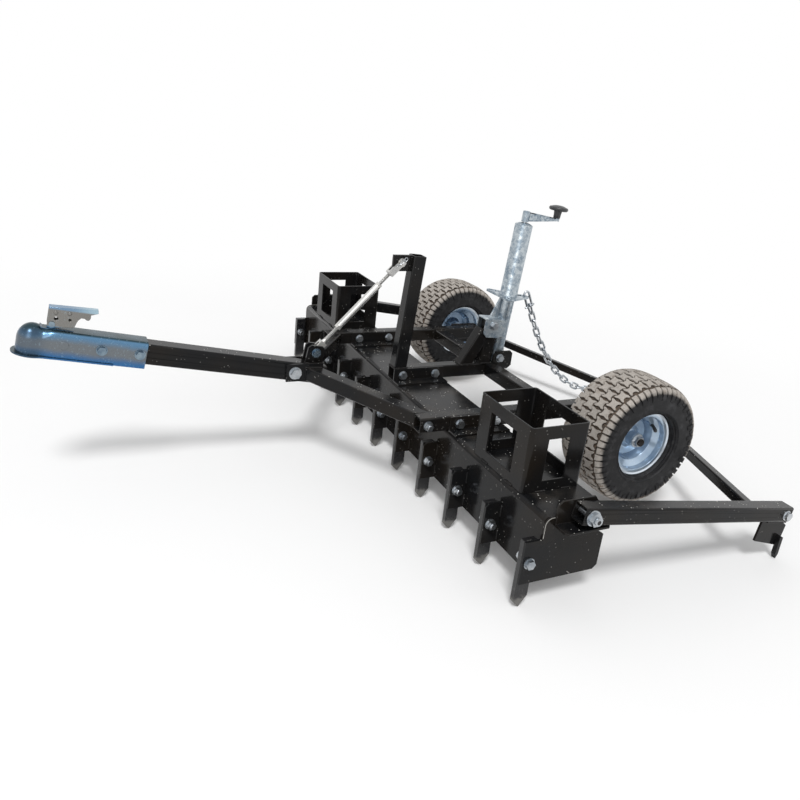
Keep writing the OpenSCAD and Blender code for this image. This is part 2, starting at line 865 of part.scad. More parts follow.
// One tube of the V, from the left arm's inner face to the machine's middle
module rake_diagonal() {
    length = arm_in / cos(vee_sweep) + 2 * vee_tube;
    difference() {
        translate([-apex_l, 0, 0]) rotate([0, 0, 90 - vee_sweep]) translate([-vee_tube, -vee_tube / 2, 0])
            tube_x(length + 2 * vee_tube, vee_tube, vee_t, vee_t + 1);
        translate([-far / 2, arm_in, -far / 2]) cube(far);
        translate([-far / 2, -far, -far / 2]) cube(far);
    }
}

module rake_diagonals() {
    color(black) placed() on_rake() for (side = [0, 1]) mirror([0, side, 0]) rake_diagonal();
}

// Corner plate on the V with the upstanding lug that the last link hangs in
module chain_eye() {
    top = vee_tube / 2;
    plate_t = 5;
    lug_r = 15;
    span = 90;
    lug_front = apex_l - eye_u + lug_r;
    color(black) placed() on_rake() {
        translate([-apex_l + vee_tube * 0.6, 0, top]) linear_extrude(plate_t)
            polygon([[0, 0], [span * tan(vee_sweep), span], [lug_front, span * 0.6],
                [lug_front, -span * 0.6], [span * tan(vee_sweep), -span]]);
        plate_y(-eye_t / 2, eye_t) difference() {
            union() {
                translate([-eye_u, eye_w]) circle(lug_r);
                translate([-eye_u - lug_r, top + plate_t]) square([2 * lug_r, eye_w - top - plate_t]);
            }
            translate([-eye_u, eye_w]) circle(d = eye_hole);
        }
    }
}

// Tine plates under the arms' rear ends, each with a top flange and a pointed tine to the ground
plate_t = 6;
plate_front_u = arm_l + 24 - plate_l;
neck = 12;
tine = 11;

module rake_hanger() {
    under = -half_tube;
    rear_u = -plate_front_u - plate_l;
    low = under - neck - plate_h;
    on_rake() {
        plate_y(arm_y - plate_t / 2, plate_t) polygon([[-plate_front_u, under],
            [-plate_front_u, low + 12], [rear_u + 14, low], [rear_u, low + 6],
            [rear_u, under - neck - 6], [rear_u + 26, under - 4], [rear_u + 26, under]]);
        translate([-arm_l, arm_y - 15, under - 4]) cube([arm_l - plate_front_u, 30, 4]);
    }
    tine_at = [rear_u + 11, low + 8];
    tine_x = -pivot_x + tine_at[0] * cos(rake_slope) - tine_at[1] * sin(rake_slope);
    tine_z = pivot_z + tine_at[0] * sin(rake_slope) + tine_at[1] * cos(rake_slope);
    tine_bar(tine_x, tine_z + 18, tine_z + tooth_drop + 18);
}

// Pointed bar beside a plate, down to the ground
module tine_bar(x, top, length) {
    plate_y(arm_y + plate_t / 2, tine) polygon([[x - tine / 2, top], [x + tine / 2, top],
        [x + tine / 2, top - length + 12], [x, top - length], [x - tine / 2, top - length + 12]]);
}

module rake_hangers() {
    color(black) placed() for (side = [0, 1]) mirror([0, side, 0]) rake_hanger();
}

module rake_bolts() {
    color(zinc) placed() on_rake() for (side = [0, 1]) mirror([0, side, 0])
        bolt_y(-rear_bolt_u, 0, arm_in + tube, arm_in);
}

// Pivot brackets: angle irons on the end plates. The floor under each arm is the frame's lower stop.

floor_rear = pivot_x + 66;
stop_top = pivot_z - (floor_rear - pivot_x) * tan(rake_slope) - half_tube / cos(rake_slope) - 0.3;
bracket_t = 5;

module pivot_bracket_left() {
    front = -20;
    color(black) placed() difference() {
        union() {
            plate_y(half_w, bracket_t) polygon([[front, stop_top - bracket_t], [front, pivot_z + 12],
                [front - 10, pivot_z + 21], [-floor_rear + 30, pivot_z + 21], [-floor_rear, stop_top + 10],
                [-floor_rear, stop_top - bracket_t]]);
            translate([0, half_w, stop_top - bracket_t]) linear_extrude(bracket_t)
                polygon([[front, 0], [front, tube - 2], [front - 6, tube + 4], [-floor_rear + 14, tube + 4],
                    [-floor_rear, tube - 12], [-floor_rear, 0]]);
        }
        hole_y(-pivot_x, pivot_z, pivot_d + 2 * fit);
    }
}

module pivot_bracket_right() {
    right_side() pivot_bracket_left();
}

// Flanged pivot bolts: the head lies inside, above the bar, and the nut outside the arm
module pivot_bolts() {
    head_t = 0.56 * pivot_d;
    nut_t = 0.7 * pivot_d;
    flange = 3;
    across = 1.7 * pivot_d;
    stub = 0.3 * pivot_d;
    lean_in = half_w - head_t;
    out = arm_in + tube + side_gap;
    color(zinc) placed() for (side = [0, 1]) mirror([0, side, 0]) {
        rod_y(-pivot_x, pivot_z, lean_in, out + flange + nut_t + stub, pivot_d);
        translate([-pivot_x, lean_in, pivot_z]) rotate([-90, 0, 0])
            cylinder(h = head_t, d = across, $fn = 6);
        translate([-pivot_x, out, pivot_z]) rotate([-90, 0, 0]) {
            cylinder(h = flange, d = 2.1 * pivot_d);
            translate([0, 0, flange]) cylinder(h = nut_t, d = across, $fn = 6);
        }
    }
}

// Wheels

// Sheet of thickness t along a list of points
module stroke(points, t) {
    for (i = [0 : len(points) - 2]) {
        a = points[i];
        b = points[i + 1];
        translate(a) rotate([0, 0, atan2(b[1] - a[1], b[0] - a[0])])
            translate([0, -t / 2]) square([norm(b - a), t]);
        translate(b) circle(d = t, $fn = 24);
    }
    translate(points[0]) circle(d = t, $fn = 24);
}

// Turns a profile of radius and width round the axle of the left wheel
module round_axle() {
    translate([-wheel_x, wheel_y, -wheel_drop]) rotate([-90, 0, 0]) children();
}

tyre_r = tyre_d / 2;
bead_r = rim_d / 2;
rim_sheet = 3;
rim_seat = bead_r - rim_sheet / 2 - 0.3;
rim_lip = rim_seat + 12;
side_t = 8;
function oval(t, w, h, n) = [h * pow(abs(sin(t)), n), w * sign(cos(t)) * pow(abs(cos(t)), n)];

// Half section of a tyre's outer or inner skin, in by d
module tyre_skin(d) {
    mid_r = (tyre_r + bead_r) / 2 - 3;
    top = tyre_r - mid_r - d;
    low = mid_r - bead_r + 4;
    steps = 9;
    upper = [for (i = [0 : steps]) [mid_r, 0] + oval(180 - 180 * i / steps, tyre_w / 2 - d, top, 0.55)];
    bead = rim_w / 2 - 4.3 - d;
    lip_top = rim_lip + 2 + d;
    polygon(concat(upper, [[mid_r - low * 0.45 + d / 2, tyre_w / 2 - d - 2], [lip_top + 3, bead + 12],
        [lip_top, bead], [bead_r, bead], [bead_r, -bead], [lip_top, -bead], [lip_top + 3, -bead - 12],
        [mid_r - low * 0.45 + d / 2, -tyre_w / 2 + d + 2]]));
}

module tyre() {
    groove_w = 6;
    block = 360 / tread_count;
    round_axle() difference() {
        rotate_extrude($fn = 96) difference() {
            tyre_skin(0);
            tyre_skin(side_t);
            translate([bead_r - 20, -rim_w]) square([20, 2 * rim_w]);
            for (y = [-1, 1] * tyre_w * 0.12)
                translate([tyre_r - tread_depth, y - groove_w / 2]) square([20, groove_w]);
            for (y = [-1, 1] * tyre_w * 0.31)
                translate([tyre_r - tread_depth - 2, y - groove_w / 2]) square([20, groove_w]);
        }
        for (i = [0 : tread_count - 1], side = [-1, 1])
            rotate([0, 0, block * (i + (side > 0 ? 0.5 : 0))])
                translate([tyre_r - tread_depth - 6, -groove_w / 2, side > 0 ? tyre_w * 0.33 : -tyre_w])
                    cube([30, groove_w, tyre_w * 0.67]);
    }
}

module tyre_left() {
    color(rubber) placed() tyre();
}

module tyre_right() {
    color(rubber) placed() right_side() tyre();
}

hub_half = 34;
hub_d = 40;
bearing_w = 12;

module rim() {
    sheet = rim_sheet;
    seat = rim_seat;
    edge = rim_w / 2 - sheet / 2;
    well_r = seat - 15;
    lip = rim_lip;
    round_axle() {
        difference() {
            rotate_extrude($fn = 96) {
                stroke([[lip, edge + 1], [lip - 4, edge - 1], [seat, edge - 1], [seat, edge - 17],
                    [well_r, edge - 27], [well_r, -edge + 27], [seat, -edge + 17], [seat, -edge + 1],
                    [lip - 4, -edge + 1], [lip, -edge - 1]], sheet);
                stroke([[well_r, -4], [well_r - 10, 4], [hub_d / 2 + 10, 4], [hub_d / 2, 12]], sheet);
            }
            translate([seat - 9, 0, edge - 30]) rotate([0, 60, 0]) cylinder(h = 40, d = 9, center = true);
        }
        difference() {
            translate([0, 0, -hub_half]) cylinder(h = 2 * hub_half, d = hub_d);
            translate([0, 0, -hub_half - past]) cylinder(h = bearing_w + past, d = hub_d - 7);
            translate([0, 0, hub_half - bearing_w]) cylinder(h = bearing_w + past, d = hub_d - 7);
            translate([0, 0, -hub_half - past]) cylinder(h = 2 * hub_half + 2 * past, d = axle_d + 6);
        }
    }
}

module rim_left() {
    color(rim_silver) placed() rim();
}

module rim_right() {
    color(rim_silver) placed() right_side() rim();
}

module bearings() {
    round_axle() for (side = [0, 1]) mirror([0, 0, side])
        translate([0, 0, hub_half - bearing_w]) difference() {
            cylinder(h = bearing_w, d = hub_d - 7);
            translate([0, 0, -past]) cylinder(h = bearing_w + 2 * past, d = axle_d + 2 * fit);
        }
}

module bearings_left() {
    color(bare) placed() bearings();
}

module bearings_right() {
    color(bare) placed() right_side() bearings();
}

axle_plate_t = 10;
axle_plate_l = 95;
axle_plate_foot = 70;
hub_gap = 0.5;
axle_end = wheel_y + hub_half + 17;

// Stub axle on a plate that is welded to the rail's outer face
module axle() {
    face = rail_y + half_tube;
    collar_end = wheel_y - hub_half - hub_gap;
    plate_y(face, axle_plate_t) polygon([[-rail_rear + axle_plate_l, tube], [-rail_rear, tube],
        [-rail_rear, -wheel_drop - 15], [-rail_rear + 8, -wheel_drop - 23],
        [-rail_rear + axle_plate_foot, -wheel_drop - 23], [-rail_rear + axle_plate_l, 2]]);
    rod_y(-wheel_x, -wheel_drop, collar_end - 8, collar_end, axle_d + 11);
    rod_y(-wheel_x, -wheel_drop, face + axle_plate_t, axle_end, axle_d);
}

module axle_left() {
    color(black) placed() axle();
}

module axle_right() {
    color(black) placed() right_side() axle();
}

module axle_nuts() {
    washer = 2.5;
    nut_t = 10;
    start = wheel_y + hub_half + hub_gap;
    color(zinc) placed() for (side = [0, 1]) mirror([0, side, 0]) difference() {
        translate([-wheel_x, start, -wheel_drop]) rotate([-90, 0, 0]) {
            cylinder(h = washer, d = axle_d + 16);
            cylinder(h = washer + nut_t, d = axle_d + 10, $fn = 6);
        }
        hole_y(-wheel_x, -wheel_drop, axle_d + 2 * fit);
    }
}

// Drawbar and coupler: their frame has x along the drawbar from the hinge

module on_drawbar() {
    translate([hinge_x, 0, hinge_z]) rotate([0, -drawbar_pitch, 0]) children();
}

coupler_rear = ball_s + nose_r - coupler_l;
coupler_bolts_s = [coupler_rear + 15, coupler_rear + 99];
drawbar_end = coupler_rear + 118;
drawbar_r = 6;
coupler_in = drawbar / 2 + 0.2;
coupler_out = coupler_in + coupler_t;

module drawbar_tube() {
    color(black) placed() on_drawbar() difference() {
        translate([-drawbar_tail, 0, 0]) tube_x(drawbar_tail + drawbar_end, drawbar, drawbar_t, drawbar_r);
        hole_y(0, 0, hinge_d + 2 * fit);
        for (s = coupler_bolts_s)
            hole_y(s, 0, bolt_hole);
    }
}

// Turnbuckle's lower bolt in the drawbar's own frame
turn_dx = turn_x - hinge_x;
turn_dz = turn_z - hinge_z;
turn_s = turn_dx * cos(drawbar_pitch) + turn_dz * sin(drawbar_pitch);
turn_t = -turn_dx * sin(drawbar_pitch) + turn_dz * cos(drawbar_pitch);
jaw_half = 9;
turn_ear_t = 6;
turn_ear_y = jaw_half + side_gap;

module turnbuckle_ears() {
    half_l = 24;
    top = turn_t + 19;
    color(black) placed() on_drawbar() for (side = [0, 1]) mirror([0, side, 0])
        plate_y(turn_ear_y, turn_ear_t) difference() {
            polygon([[turn_s - half_l, drawbar / 2], [turn_s - half_l, top - 8], [turn_s - half_l + 8, top],
                [turn_s + half_l - 8, top], [turn_s + half_l, top - 8], [turn_s + half_l, drawbar / 2]]);
            translate([turn_s, turn_t]) circle(d = bolt_d + 2 * fit);
        }
}

latch_s = ball_s - 40;
latch_t = coupler_out + 11;
latch_pin_d = 8;
latch_in = 8;

// Section of the coupler's channel, open below, with round upper edges
module channel(half, top, low, r) {
    translate([-half, low]) square([2 * half, top - low - r]);
    translate([-half + r, top - r - past]) square([2 * half - 2 * r, r + past]);
    for (side = [-1, 1])
        translate([side * (half - r), top - r]) circle(r);
}

module coupler_form(half, top, low, r, bend) {
    translate([coupler_rear, 0, 0]) rotate([90, 0, 90])
        linear_extrude(ball_s - coupler_rear) channel(half, top, low, bend);
    translate([ball_s, 0, low]) cylinder(h = -low, r = r, $fn = 64);
    translate([ball_s, 0, 0]) rotate_extrude($fn = 64) intersection() {
        circle(r, $fn = 64);
        square(2 * r);
    }
}

// Pressed coupler: a channel over the drawbar that ends in the ball's socket, with a flared lip
module coupler() {
    lip_rear = coupler_rear + 70;
    color(blue_zinc) placed() on_drawbar() difference() {
        union() {
            coupler_form(coupler_out, coupler_out, -lip_drop, nose_r, drawbar_r + coupler_t);
            translate([0, 0, -lip_drop]) linear_extrude(lip_t) {
                translate([ball_s, 0]) circle(nose_r + lip_w);
                translate([lip_rear, -coupler_out - lip_w])
                    square([ball_s - lip_rear, 2 * (coupler_out + lip_w)]);
            }
            translate([latch_s - 9, -latch_in, coupler_out - 3])
                cube([18, 2 * latch_in, latch_t - coupler_out + 3]);
            translate([latch_s, latch_in, latch_t]) rotate([90, 0, 0]) cylinder(h = 2 * latch_in, d = 18);
            translate([latch_s - 30, 0, 0]) rotate([90, 0, 0])
                cylinder(h = 2 * coupler_out + 2, d = 20, center = true);
        }
        coupler_form(coupler_in, coupler_in, -far / 10, ball_d / 2 + 0.6, drawbar_r);
        translate([coupler_rear - past, -coupler_in, -far / 10])
            cube([past + 1, 2 * coupler_in, coupler_in + far / 10]);
        for (s = coupler_bolts_s)
            hole_y(s, 0, bolt_hole);
        hole_y(latch_s, latch_t, latch_pin_d);
    }
}

module drawbar_bolts() {
    ear_y = turn_ear_y + turn_ear_t;
    color(zinc) placed() on_drawbar() {
        for (s = coupler_bolts_s)
            bolt_y(s, 0, coupler_out, -coupler_out);
        bolt_y(turn_s, turn_t, ear_y, -ear_y);
        rod_y(latch_s, latch_t, -latch_in - 7, latch_in + 7, latch_pin_d);
        for (y = [latch_in + 4.6, -latch_in - 7])
            rod_y(latch_s, latch_t, y, y + 2.4, latch_pin_d + 5);
    }
}

// Latch lever: a folded channel with two side cheeks, hinged at its front
module latch_lever() {
    cheek = 3;
    y_in = latch_in + 1;
    nose = 10;
    back = latch_s - 95;
    low = coupler_out + 1;
    top = coupler_out + 43;
    color(blue_zinc) placed() on_drawbar() difference() {
        union() {
            for (side = [0, 1]) mirror([0, side, 0]) plate_y(y_in, cheek) {
                translate([latch_s, latch_t]) circle(nose);
                polygon([[latch_s + nose, latch_t], [latch_s + nose, top - 4], [latch_s + nose - 4, top],
                    [back, top + 6], [back - 4, top + 1], [back + 12, top - 12], [back + 26, low + 16],
                    [back + 40, low + 2], [latch_s, latch_t - nose]]);
            }
            plate_y(-y_in - 0.1, 2 * y_in + 0.2) polygon([[latch_s + nose - 4, top - 3],
                [latch_s + nose - 4, top], [back, top + 6], [back - 4, top + 1], [back, top + 3]]);
        }
        hole_y(latch_s, latch_t, latch_pin_d + 2 * fit);
        hole_y(back + 20, low + 20, 9);
        hole_y(latch_s - 22, top - 14, 7);
    }
}

// Turnbuckle: its frame has z along the rods, from the lower bolt to the upper pin

turn_run = [turn_top_x - turn_x, turn_top_z - turn_z];
turn_l = norm(turn_run);
turn_lean = atan2(turn_run[0], turn_run[1]);
pin_d = 11;
pin_play = 1.2;
jaw_l = 34;
sleeve_low = 86;
sleeve_high = turn_l - 82;

module on_turnbuckle() {
    translate([turn_x, 0, turn_z]) rotate([0, turn_lean, 0]) children();
}

module turnbuckle_lower() {
    color(zinc) placed() on_turnbuckle() difference() {
        union() {
            rod_y(0, 0, -jaw_half, jaw_half, 2 * bolt_d);
            translate([-bolt_d * 0.8, -jaw_half, 0]) cube([1.6 * bolt_d, 2 * jaw_half, jaw_l]);
            translate([0, 0, jaw_l]) cylinder(h = 8, d1 = 1.5 * jaw_half, d2 = rod_d, $fn = 48);
            cylinder(h = sleeve_low + 40, d = rod_d);
        }
        translate([-bolt_d * 1.2, -jaw_half + 5, 12]) cube([2.4 * bolt_d, 2 * jaw_half - 10, jaw_l - 20]);
        hole_y(0, 0, bolt_d + 2 * fit);
    }
}

module turnbuckle_sleeve() {
    length = sleeve_high - sleeve_low;
    end_l = 14;
    hex_l = 8;
    color(zinc) placed() on_turnbuckle() translate([0, 0, sleeve_low]) difference() {
        union() {
            cylinder(h = length, d = sleeve_d - 3);
            translate([0, 0, hex_l]) cylinder(h = length - 2 * hex_l, d = sleeve_d);
            for (z = [0, length - hex_l])
                translate([0, 0, z]) cylinder(h = hex_l, d = sleeve_d + 2, $fn = 6);
        }
        translate([0, 0, -past]) cylinder(h = length + 2 * past, d = rod_d + 2 * fit);
        translate([0, 0, end_l]) cylinder(h = length - 2 * end_l, d = sleeve_d - 5);
    }
}

// Upper rod with the fork that straddles the post's lug, its pin and the ring clip
module turnbuckle_upper() {
    gap = lug_half + side_gap;
    fork = 5;
    fork_l = 40;
    clip_y = gap + fork + 5;
    rod_in = 36;
    color(zinc) placed() on_turnbuckle() {
        difference() {
            union() {
                for (side = [0, 1]) mirror([0, side, 0]) {
                    rod_y(0, turn_l, gap, gap + fork, 24);
                    translate([-9, gap, turn_l - fork_l]) cube([18, fork, fork_l]);
                }
                translate([-9, -gap - fork, turn_l - fork_l - 5]) cube([18, 2 * (gap + fork), 7]);
                translate([0, 0, sleeve_high - rod_in])
                    cylinder(h = turn_l - fork_l - sleeve_high + rod_in, d = rod_d);
            }
            hole_y(0, turn_l, pin_d);
        }
        rod_y(0, turn_l, -clip_y - 3, clip_y + 1, pin_d);
        rod_y(0, turn_l, gap + fork + 0.5, gap + fork + 4, pin_d + 6);
        translate([0, -clip_y, turn_l]) rotate([90, 0, 0]) rotate_extrude()
            translate([pin_d / 2 + 0.5, 0]) circle(d = 2.4);
    }
}

tool_bar();
end_plate_left();
end_plate_right();
tooth_lugs();
teeth();
tooth_bolts();
basket_left();
basket_right();
rail_left();
rail_right();
angle_left();
angle_centre();
angle_right();
rail_bolts();
centre_bar();
crossbeam();
hitch_leg_left();
hitch_leg_right();
hinge_ears();
hinge_bolt();
post();
jack_upright();
jack_strut();
jack_foot_ears();
jack_bolts();
jack_bracket();
jack_inner_tube();
jack_nut();
axle_left();
axle_right();
axle_nuts();
pivot_bracket_left();
pivot_bracket_right();
pivot_bolts();
jack_outer_tube();
jack_screw();
crank_arm();
crank_knob();
chain_shackle();
lift_chain();
rake_arm_left();
rake_arm_right();
rake_diagonals();
chain_eye();
rake_hangers();
rake_bolts();
tyre_left();
rim_left();
bearings_left();
tyre_right();
rim_right();
bearings_right();
drawbar_tube();
turnbuckle_ears();
coupler();
drawbar_bolts();
latch_lever();
turnbuckle_lower();
turnbuckle_sleeve();
turnbuckle_upper();
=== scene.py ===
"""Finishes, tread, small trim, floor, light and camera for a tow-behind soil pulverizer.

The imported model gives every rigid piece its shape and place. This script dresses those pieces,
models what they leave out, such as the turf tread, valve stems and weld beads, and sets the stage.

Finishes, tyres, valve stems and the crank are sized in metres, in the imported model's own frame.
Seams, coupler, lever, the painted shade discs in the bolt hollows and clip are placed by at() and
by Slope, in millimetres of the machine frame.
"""

from __future__ import annotations

import json
import logging
import math
import random
from dataclasses import dataclass, field
from enum import Enum
from typing import Callable, Optional, Sequence, Union

import bmesh
import bpy
from mathutils import Matrix, Quaternion, Vector

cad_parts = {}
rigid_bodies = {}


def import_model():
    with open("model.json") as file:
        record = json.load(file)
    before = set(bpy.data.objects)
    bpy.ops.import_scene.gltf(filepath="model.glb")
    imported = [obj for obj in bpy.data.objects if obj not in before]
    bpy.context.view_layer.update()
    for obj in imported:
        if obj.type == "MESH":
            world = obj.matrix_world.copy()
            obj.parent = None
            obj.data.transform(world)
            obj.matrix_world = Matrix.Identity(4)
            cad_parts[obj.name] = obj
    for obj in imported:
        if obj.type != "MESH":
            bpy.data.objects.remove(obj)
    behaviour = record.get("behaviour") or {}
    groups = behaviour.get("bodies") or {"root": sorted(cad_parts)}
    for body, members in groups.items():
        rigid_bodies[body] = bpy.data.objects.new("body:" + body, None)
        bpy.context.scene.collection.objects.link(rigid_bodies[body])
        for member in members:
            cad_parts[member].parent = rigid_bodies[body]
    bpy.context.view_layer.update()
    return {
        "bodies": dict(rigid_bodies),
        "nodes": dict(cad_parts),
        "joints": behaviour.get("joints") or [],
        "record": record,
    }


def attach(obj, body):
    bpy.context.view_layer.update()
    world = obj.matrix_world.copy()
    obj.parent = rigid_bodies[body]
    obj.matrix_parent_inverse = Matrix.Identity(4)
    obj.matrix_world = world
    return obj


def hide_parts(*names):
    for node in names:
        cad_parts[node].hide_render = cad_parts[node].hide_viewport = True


LOG = logging.getLogger("pulverizer")

# The part's origin seen from the machine frame,
# which has its zero at the tool bar's upper front edge
ORIGIN = Vector((0.0115539, 0.0, -0.207))
WHEEL_X = -0.465 - ORIGIN.x
WHEEL_Z = -0.002 - ORIGIN.z
WHEEL_Y = 0.473

Value = Union["Sock", int, float]
Pair = tuple[float, float]
Triple = tuple[float, float, float]
Measure = Callable[[float, float], Pair]


def at(x: float, y: float, z: float) -> Vector:
    """Turns a point of the machine frame, in millimetres, into the part's frame in metres."""
    return Vector((x, y, z)) / 1000 - ORIGIN


@dataclass(frozen=True)
class Slope:
    """A slanted frame in the machine's middle plane, in millimetres from its foot."""

    x: float
    z: float
    angle: float

    def on(self, along: float, across: float, up: float) -> Vector:
        """Turns a point of the slanted frame into the part's frame.

        Args:
            along: Distance up the slope.
            across: Distance to the machine's left.
            up: Distance square to the slope.

        Returns:
            The point in metres.
        """
        c, s = math.cos(self.angle), math.sin(self.angle)
        return at(self.x + along * c - up * s, across, self.z + along * s + up * c)

    def run(self, along: float, across: float, up: float) -> Vector:
        """The step from the slope's foot to a point of it."""
        return self.on(along, across, up) - self.on(0, 0, 0)


DRAWBAR = Slope(291, 49, math.radians(10.4))
LIFTING = Slope(-75, 17, math.radians(9))
# The latch pin's place along the drawbar and square to it
LATCH_PIN = (580, 41.5)


class Side(Enum):
    """Left and right of the machine, with the sign of y on that side."""

    LEFT = 1
    RIGHT = -1

    @property
    def word(self) -> str:
        """The side's name as nodes and pieces use it."""
        return self.name.lower()


class Sock:
    """A shader socket that takes part in Python arithmetic."""

    def __init__(self, graph: Graph, socket: bpy.types.NodeSocket) -> None:
        """Wraps a socket of a graph.

        Args:
            graph: The graph that the socket belongs to.
            socket: The output socket.
        """
        self.graph = graph
        self.socket = socket

    def math(self, operation: str, *others: Value, first: bool = True) -> Sock:
        """Adds a Math node with this socket as one of its values.

        Args:
            operation: The Math node's operation.
            others: The other values, as sockets or numbers.
            first: Whether this socket is the first value.

        Returns:
            The Math node's result.
        """
        values = [self, *others] if first else [*others, self]
        return self.graph.node("ShaderNodeMath", {"operation": operation}, dict(enumerate(values)))

    def __add__(self, other: Value) -> Sock:
        """Adds a value."""
        return self.math("ADD", other)

    __radd__ = __add__

    def __mul__(self, other: Value) -> Sock:
        """Multiplies by a value."""
        return self.math("MULTIPLY", other)

    __rmul__ = __mul__

    def __sub__(self, other: Value) -> Sock:
        """Subtracts a value."""
        return self.math("SUBTRACT", other)

    def __rsub__(self, other: Value) -> Sock:
        """Subtracts this socket from a value."""
        return self.math("SUBTRACT", other, first=False)

    def __truediv__(self, other: Value) -> Sock:
        """Divides by a value."""
        return self.math("DIVIDE", other)

    def __rtruediv__(self, other: Value) -> Sock:
        """Divides a value by this socket."""
        return self.math("DIVIDE", other, first=False)

    def __pow__(self, other: Value) -> Sock:
        """Raises to a power."""
        return self.math("POWER", other)

    def clamp(self) -> Sock:
        """Limits the value to the range from 0 to 1."""
        return self.math("MAXIMUM", 0.0).math("MINIMUM", 1.0)

    def step(self, low: float, high: float) -> Sock:
        """Rises smoothly from 0 to 1 as the value goes from low to high."""
        values = {"Value": self, "From Min": low, "From Max": high}
        return self.graph.node("ShaderNodeMapRange", {"interpolation_type": "SMOOTHSTEP"}, values)


class Graph:
    """The node tree of a material or the world, with one method that adds any node."""

    def __init__(self, tree: bpy.types.NodeTree) -> None:
        """Takes a tree.

        Args:
            tree: The node tree of a material or a world.
        """
        self.tree = tree
        self.shader = tree.nodes.get("Principled BSDF") or tree.nodes["Background"]
        self._place: Optional[Sock] = None

    def node(
        self,
        kind: str,
        settings: Optional[dict[str, object]] = None,
        values: Optional[dict[Union[int, str], object]] = None,
        out: Union[int, str] = 0,
    ) -> Sock:
        """Adds a node.

        Args:
            kind: The node's type.
            settings: Its own settings, which are set first.
            values: Values or links of its input sockets, by name or number.
            out: The output socket that is wanted.

        Returns:
            The output socket.
        """
        node = self.tree.nodes.new(kind)
        for key, value in (settings or {}).items():
            setattr(node, key, value)
        for key, value in (values or {}).items():
            self.feed(node.inputs[key], value)
        return Sock(self, node.outputs[out])

    def feed(self, socket: bpy.types.NodeSocket, value: object) -> None:
        """Links a socket, or sets its value.

        Args:
            socket: The input socket.
            value: A Sock, a number, or a colour or vector.
        """
        if isinstance(value, Sock):
            self.tree.links.new(value.socket, socket)
        elif isinstance(value, (tuple, list)) and len(value) == 3 and socket.type == "RGBA":
            socket.default_value = (*value, 1.0)
        else:
            socket.default_value = value

    def set(self, **values: object) -> None:
        """Feeds the Principled shader. Underscores in the names stand for spaces."""
        for key, value in values.items():
            self.feed(self.shader.inputs[key.replace("_", " ")], value)

    @property
    def place(self) -> Sock:
        """Object coordinates, which are the part's own frame.

        Returns:
            Their socket, from one node for the whole tree.
        """
        if self._place is None:
            self._place = self.node("ShaderNodeTexCoord", out="Object")
        return self._place

    def noise(self, scale: float, detail: float = 3.0, rough: float = 0.5) -> Sock:
        """Noise from 0 to 1.

        Args:
            scale: Waves in a metre.
            detail: Octaves.
            rough: Weight of the finer octaves.

        Returns:
            The noise value.
        """
        values = {"Vector": self.place, "Scale": scale, "Detail": detail, "Roughness": rough}
        return self.node("ShaderNodeTexNoise", None, values, "Fac")

    def cells(self, scale: float, out: str = "Distance") -> Sock:
        """Voronoi cells.

        Args:
            scale: Cells in a metre.
            out: Distance or Color.

        Returns:
            The output that was asked for.
        """
        values = {"Vector": self.place, "Scale": scale}
        return self.node("ShaderNodeTexVoronoi", {"feature": "F1"}, values, out)

    def mix(self, factor: Value, low: object, high: object) -> Sock:
        """Mixes two colours.

        Args:
            factor: Share of the second colour.
            low: The colour at 0.
            high: The colour at 1.

        Returns:
            The mixed colour.
        """
        return self.node("ShaderNodeMix", {"data_type": "RGBA"}, {0: factor, 6: low, 7: high}, 2)

    def axis(self, name: str, source: Optional[Sock] = None) -> Sock:
        """One component of a vector.

        Args:
            name: X, Y or Z.
            source: The vector, or None for the part's frame.

        Returns:
            The component.
        """
        return self.node("ShaderNodeSeparateXYZ", None, {0: source or self.place}, name)

    def vector(self, operation: str, first: object, second: object, out: str = "Vector") -> Sock:
        """Vector arithmetic.

        Args:
            operation: The Vector Math node's operation.
            first: The first vector.
            second: The second vector.
            out: Vector or Value.

        Returns:
            The result.
        """
        values = {0: first, 1: second}
        return self.node("ShaderNodeVectorMath", {"operation": operation}, values, out)

    @property
    def from_axle(self) -> Sock:
        """Distance from the line through both wheels' axles."""
        x, z = self.axis("X") - WHEEL_X, self.axis("Z") - WHEEL_Z
        return (x * x + z * z) ** 0.5

    @property
    def background(self) -> Sock:
        """Tells where the picture, a reflection or a clear surface shows the background.

        Returns:
            1 there, and 0 elsewhere.
        """
        camera = self.node("ShaderNodeLightPath", out="Is Camera Ray")
        outputs = camera.socket.node.outputs
        mirrored = [Sock(self, outputs[name]) for name in ("Is Glossy Ray", "Is Transmission Ray")]
        return camera.math("MAXIMUM", mirrored[0]).math("MAXIMUM", mirrored[1])

    @property
    def upward(self) -> Sock:
        """How far the surface faces up, from -1 to 1."""
        return self.axis("Z", self.node("ShaderNodeNewGeometry", out="Normal"))

    def bump(
        self,
        height: Sock,
        depth: float,
        strength: float = 1.0,
        below: Optional[Sock] = None,
    ) -> Sock:
        """A bumped normal.

        Args:
            height: The height from 0 to 1.
            depth: The depth of a full step in metres.
            strength: Share of the effect.
            below: Another normal to add to.

        Returns:
            The normal.
        """
        values: dict[str, object] = {"Height": height, "Distance": depth, "Strength": strength}
        if below:
            values["Normal"] = below
        return self.node("ShaderNodeBump", None, values, "Normal")


@dataclass(frozen=True)
class Finish:
    """A surface finish. Each kind shades its own graph."""

    name: str

    def shade(self, graph: Graph) -> None:
        """Fills the graph of the finish's material."""
        raise NotImplementedError

    def material(self) -> bpy.types.Material:
        """Makes the finish's material on first use.

        Returns:
            The material.
        """
        made = bpy.data.materials.get(self.name)
        if made is None:
            made = bpy.data.materials.new(self.name)
            made.use_nodes = True
            self.shade(Graph(made.node_tree))
        return made


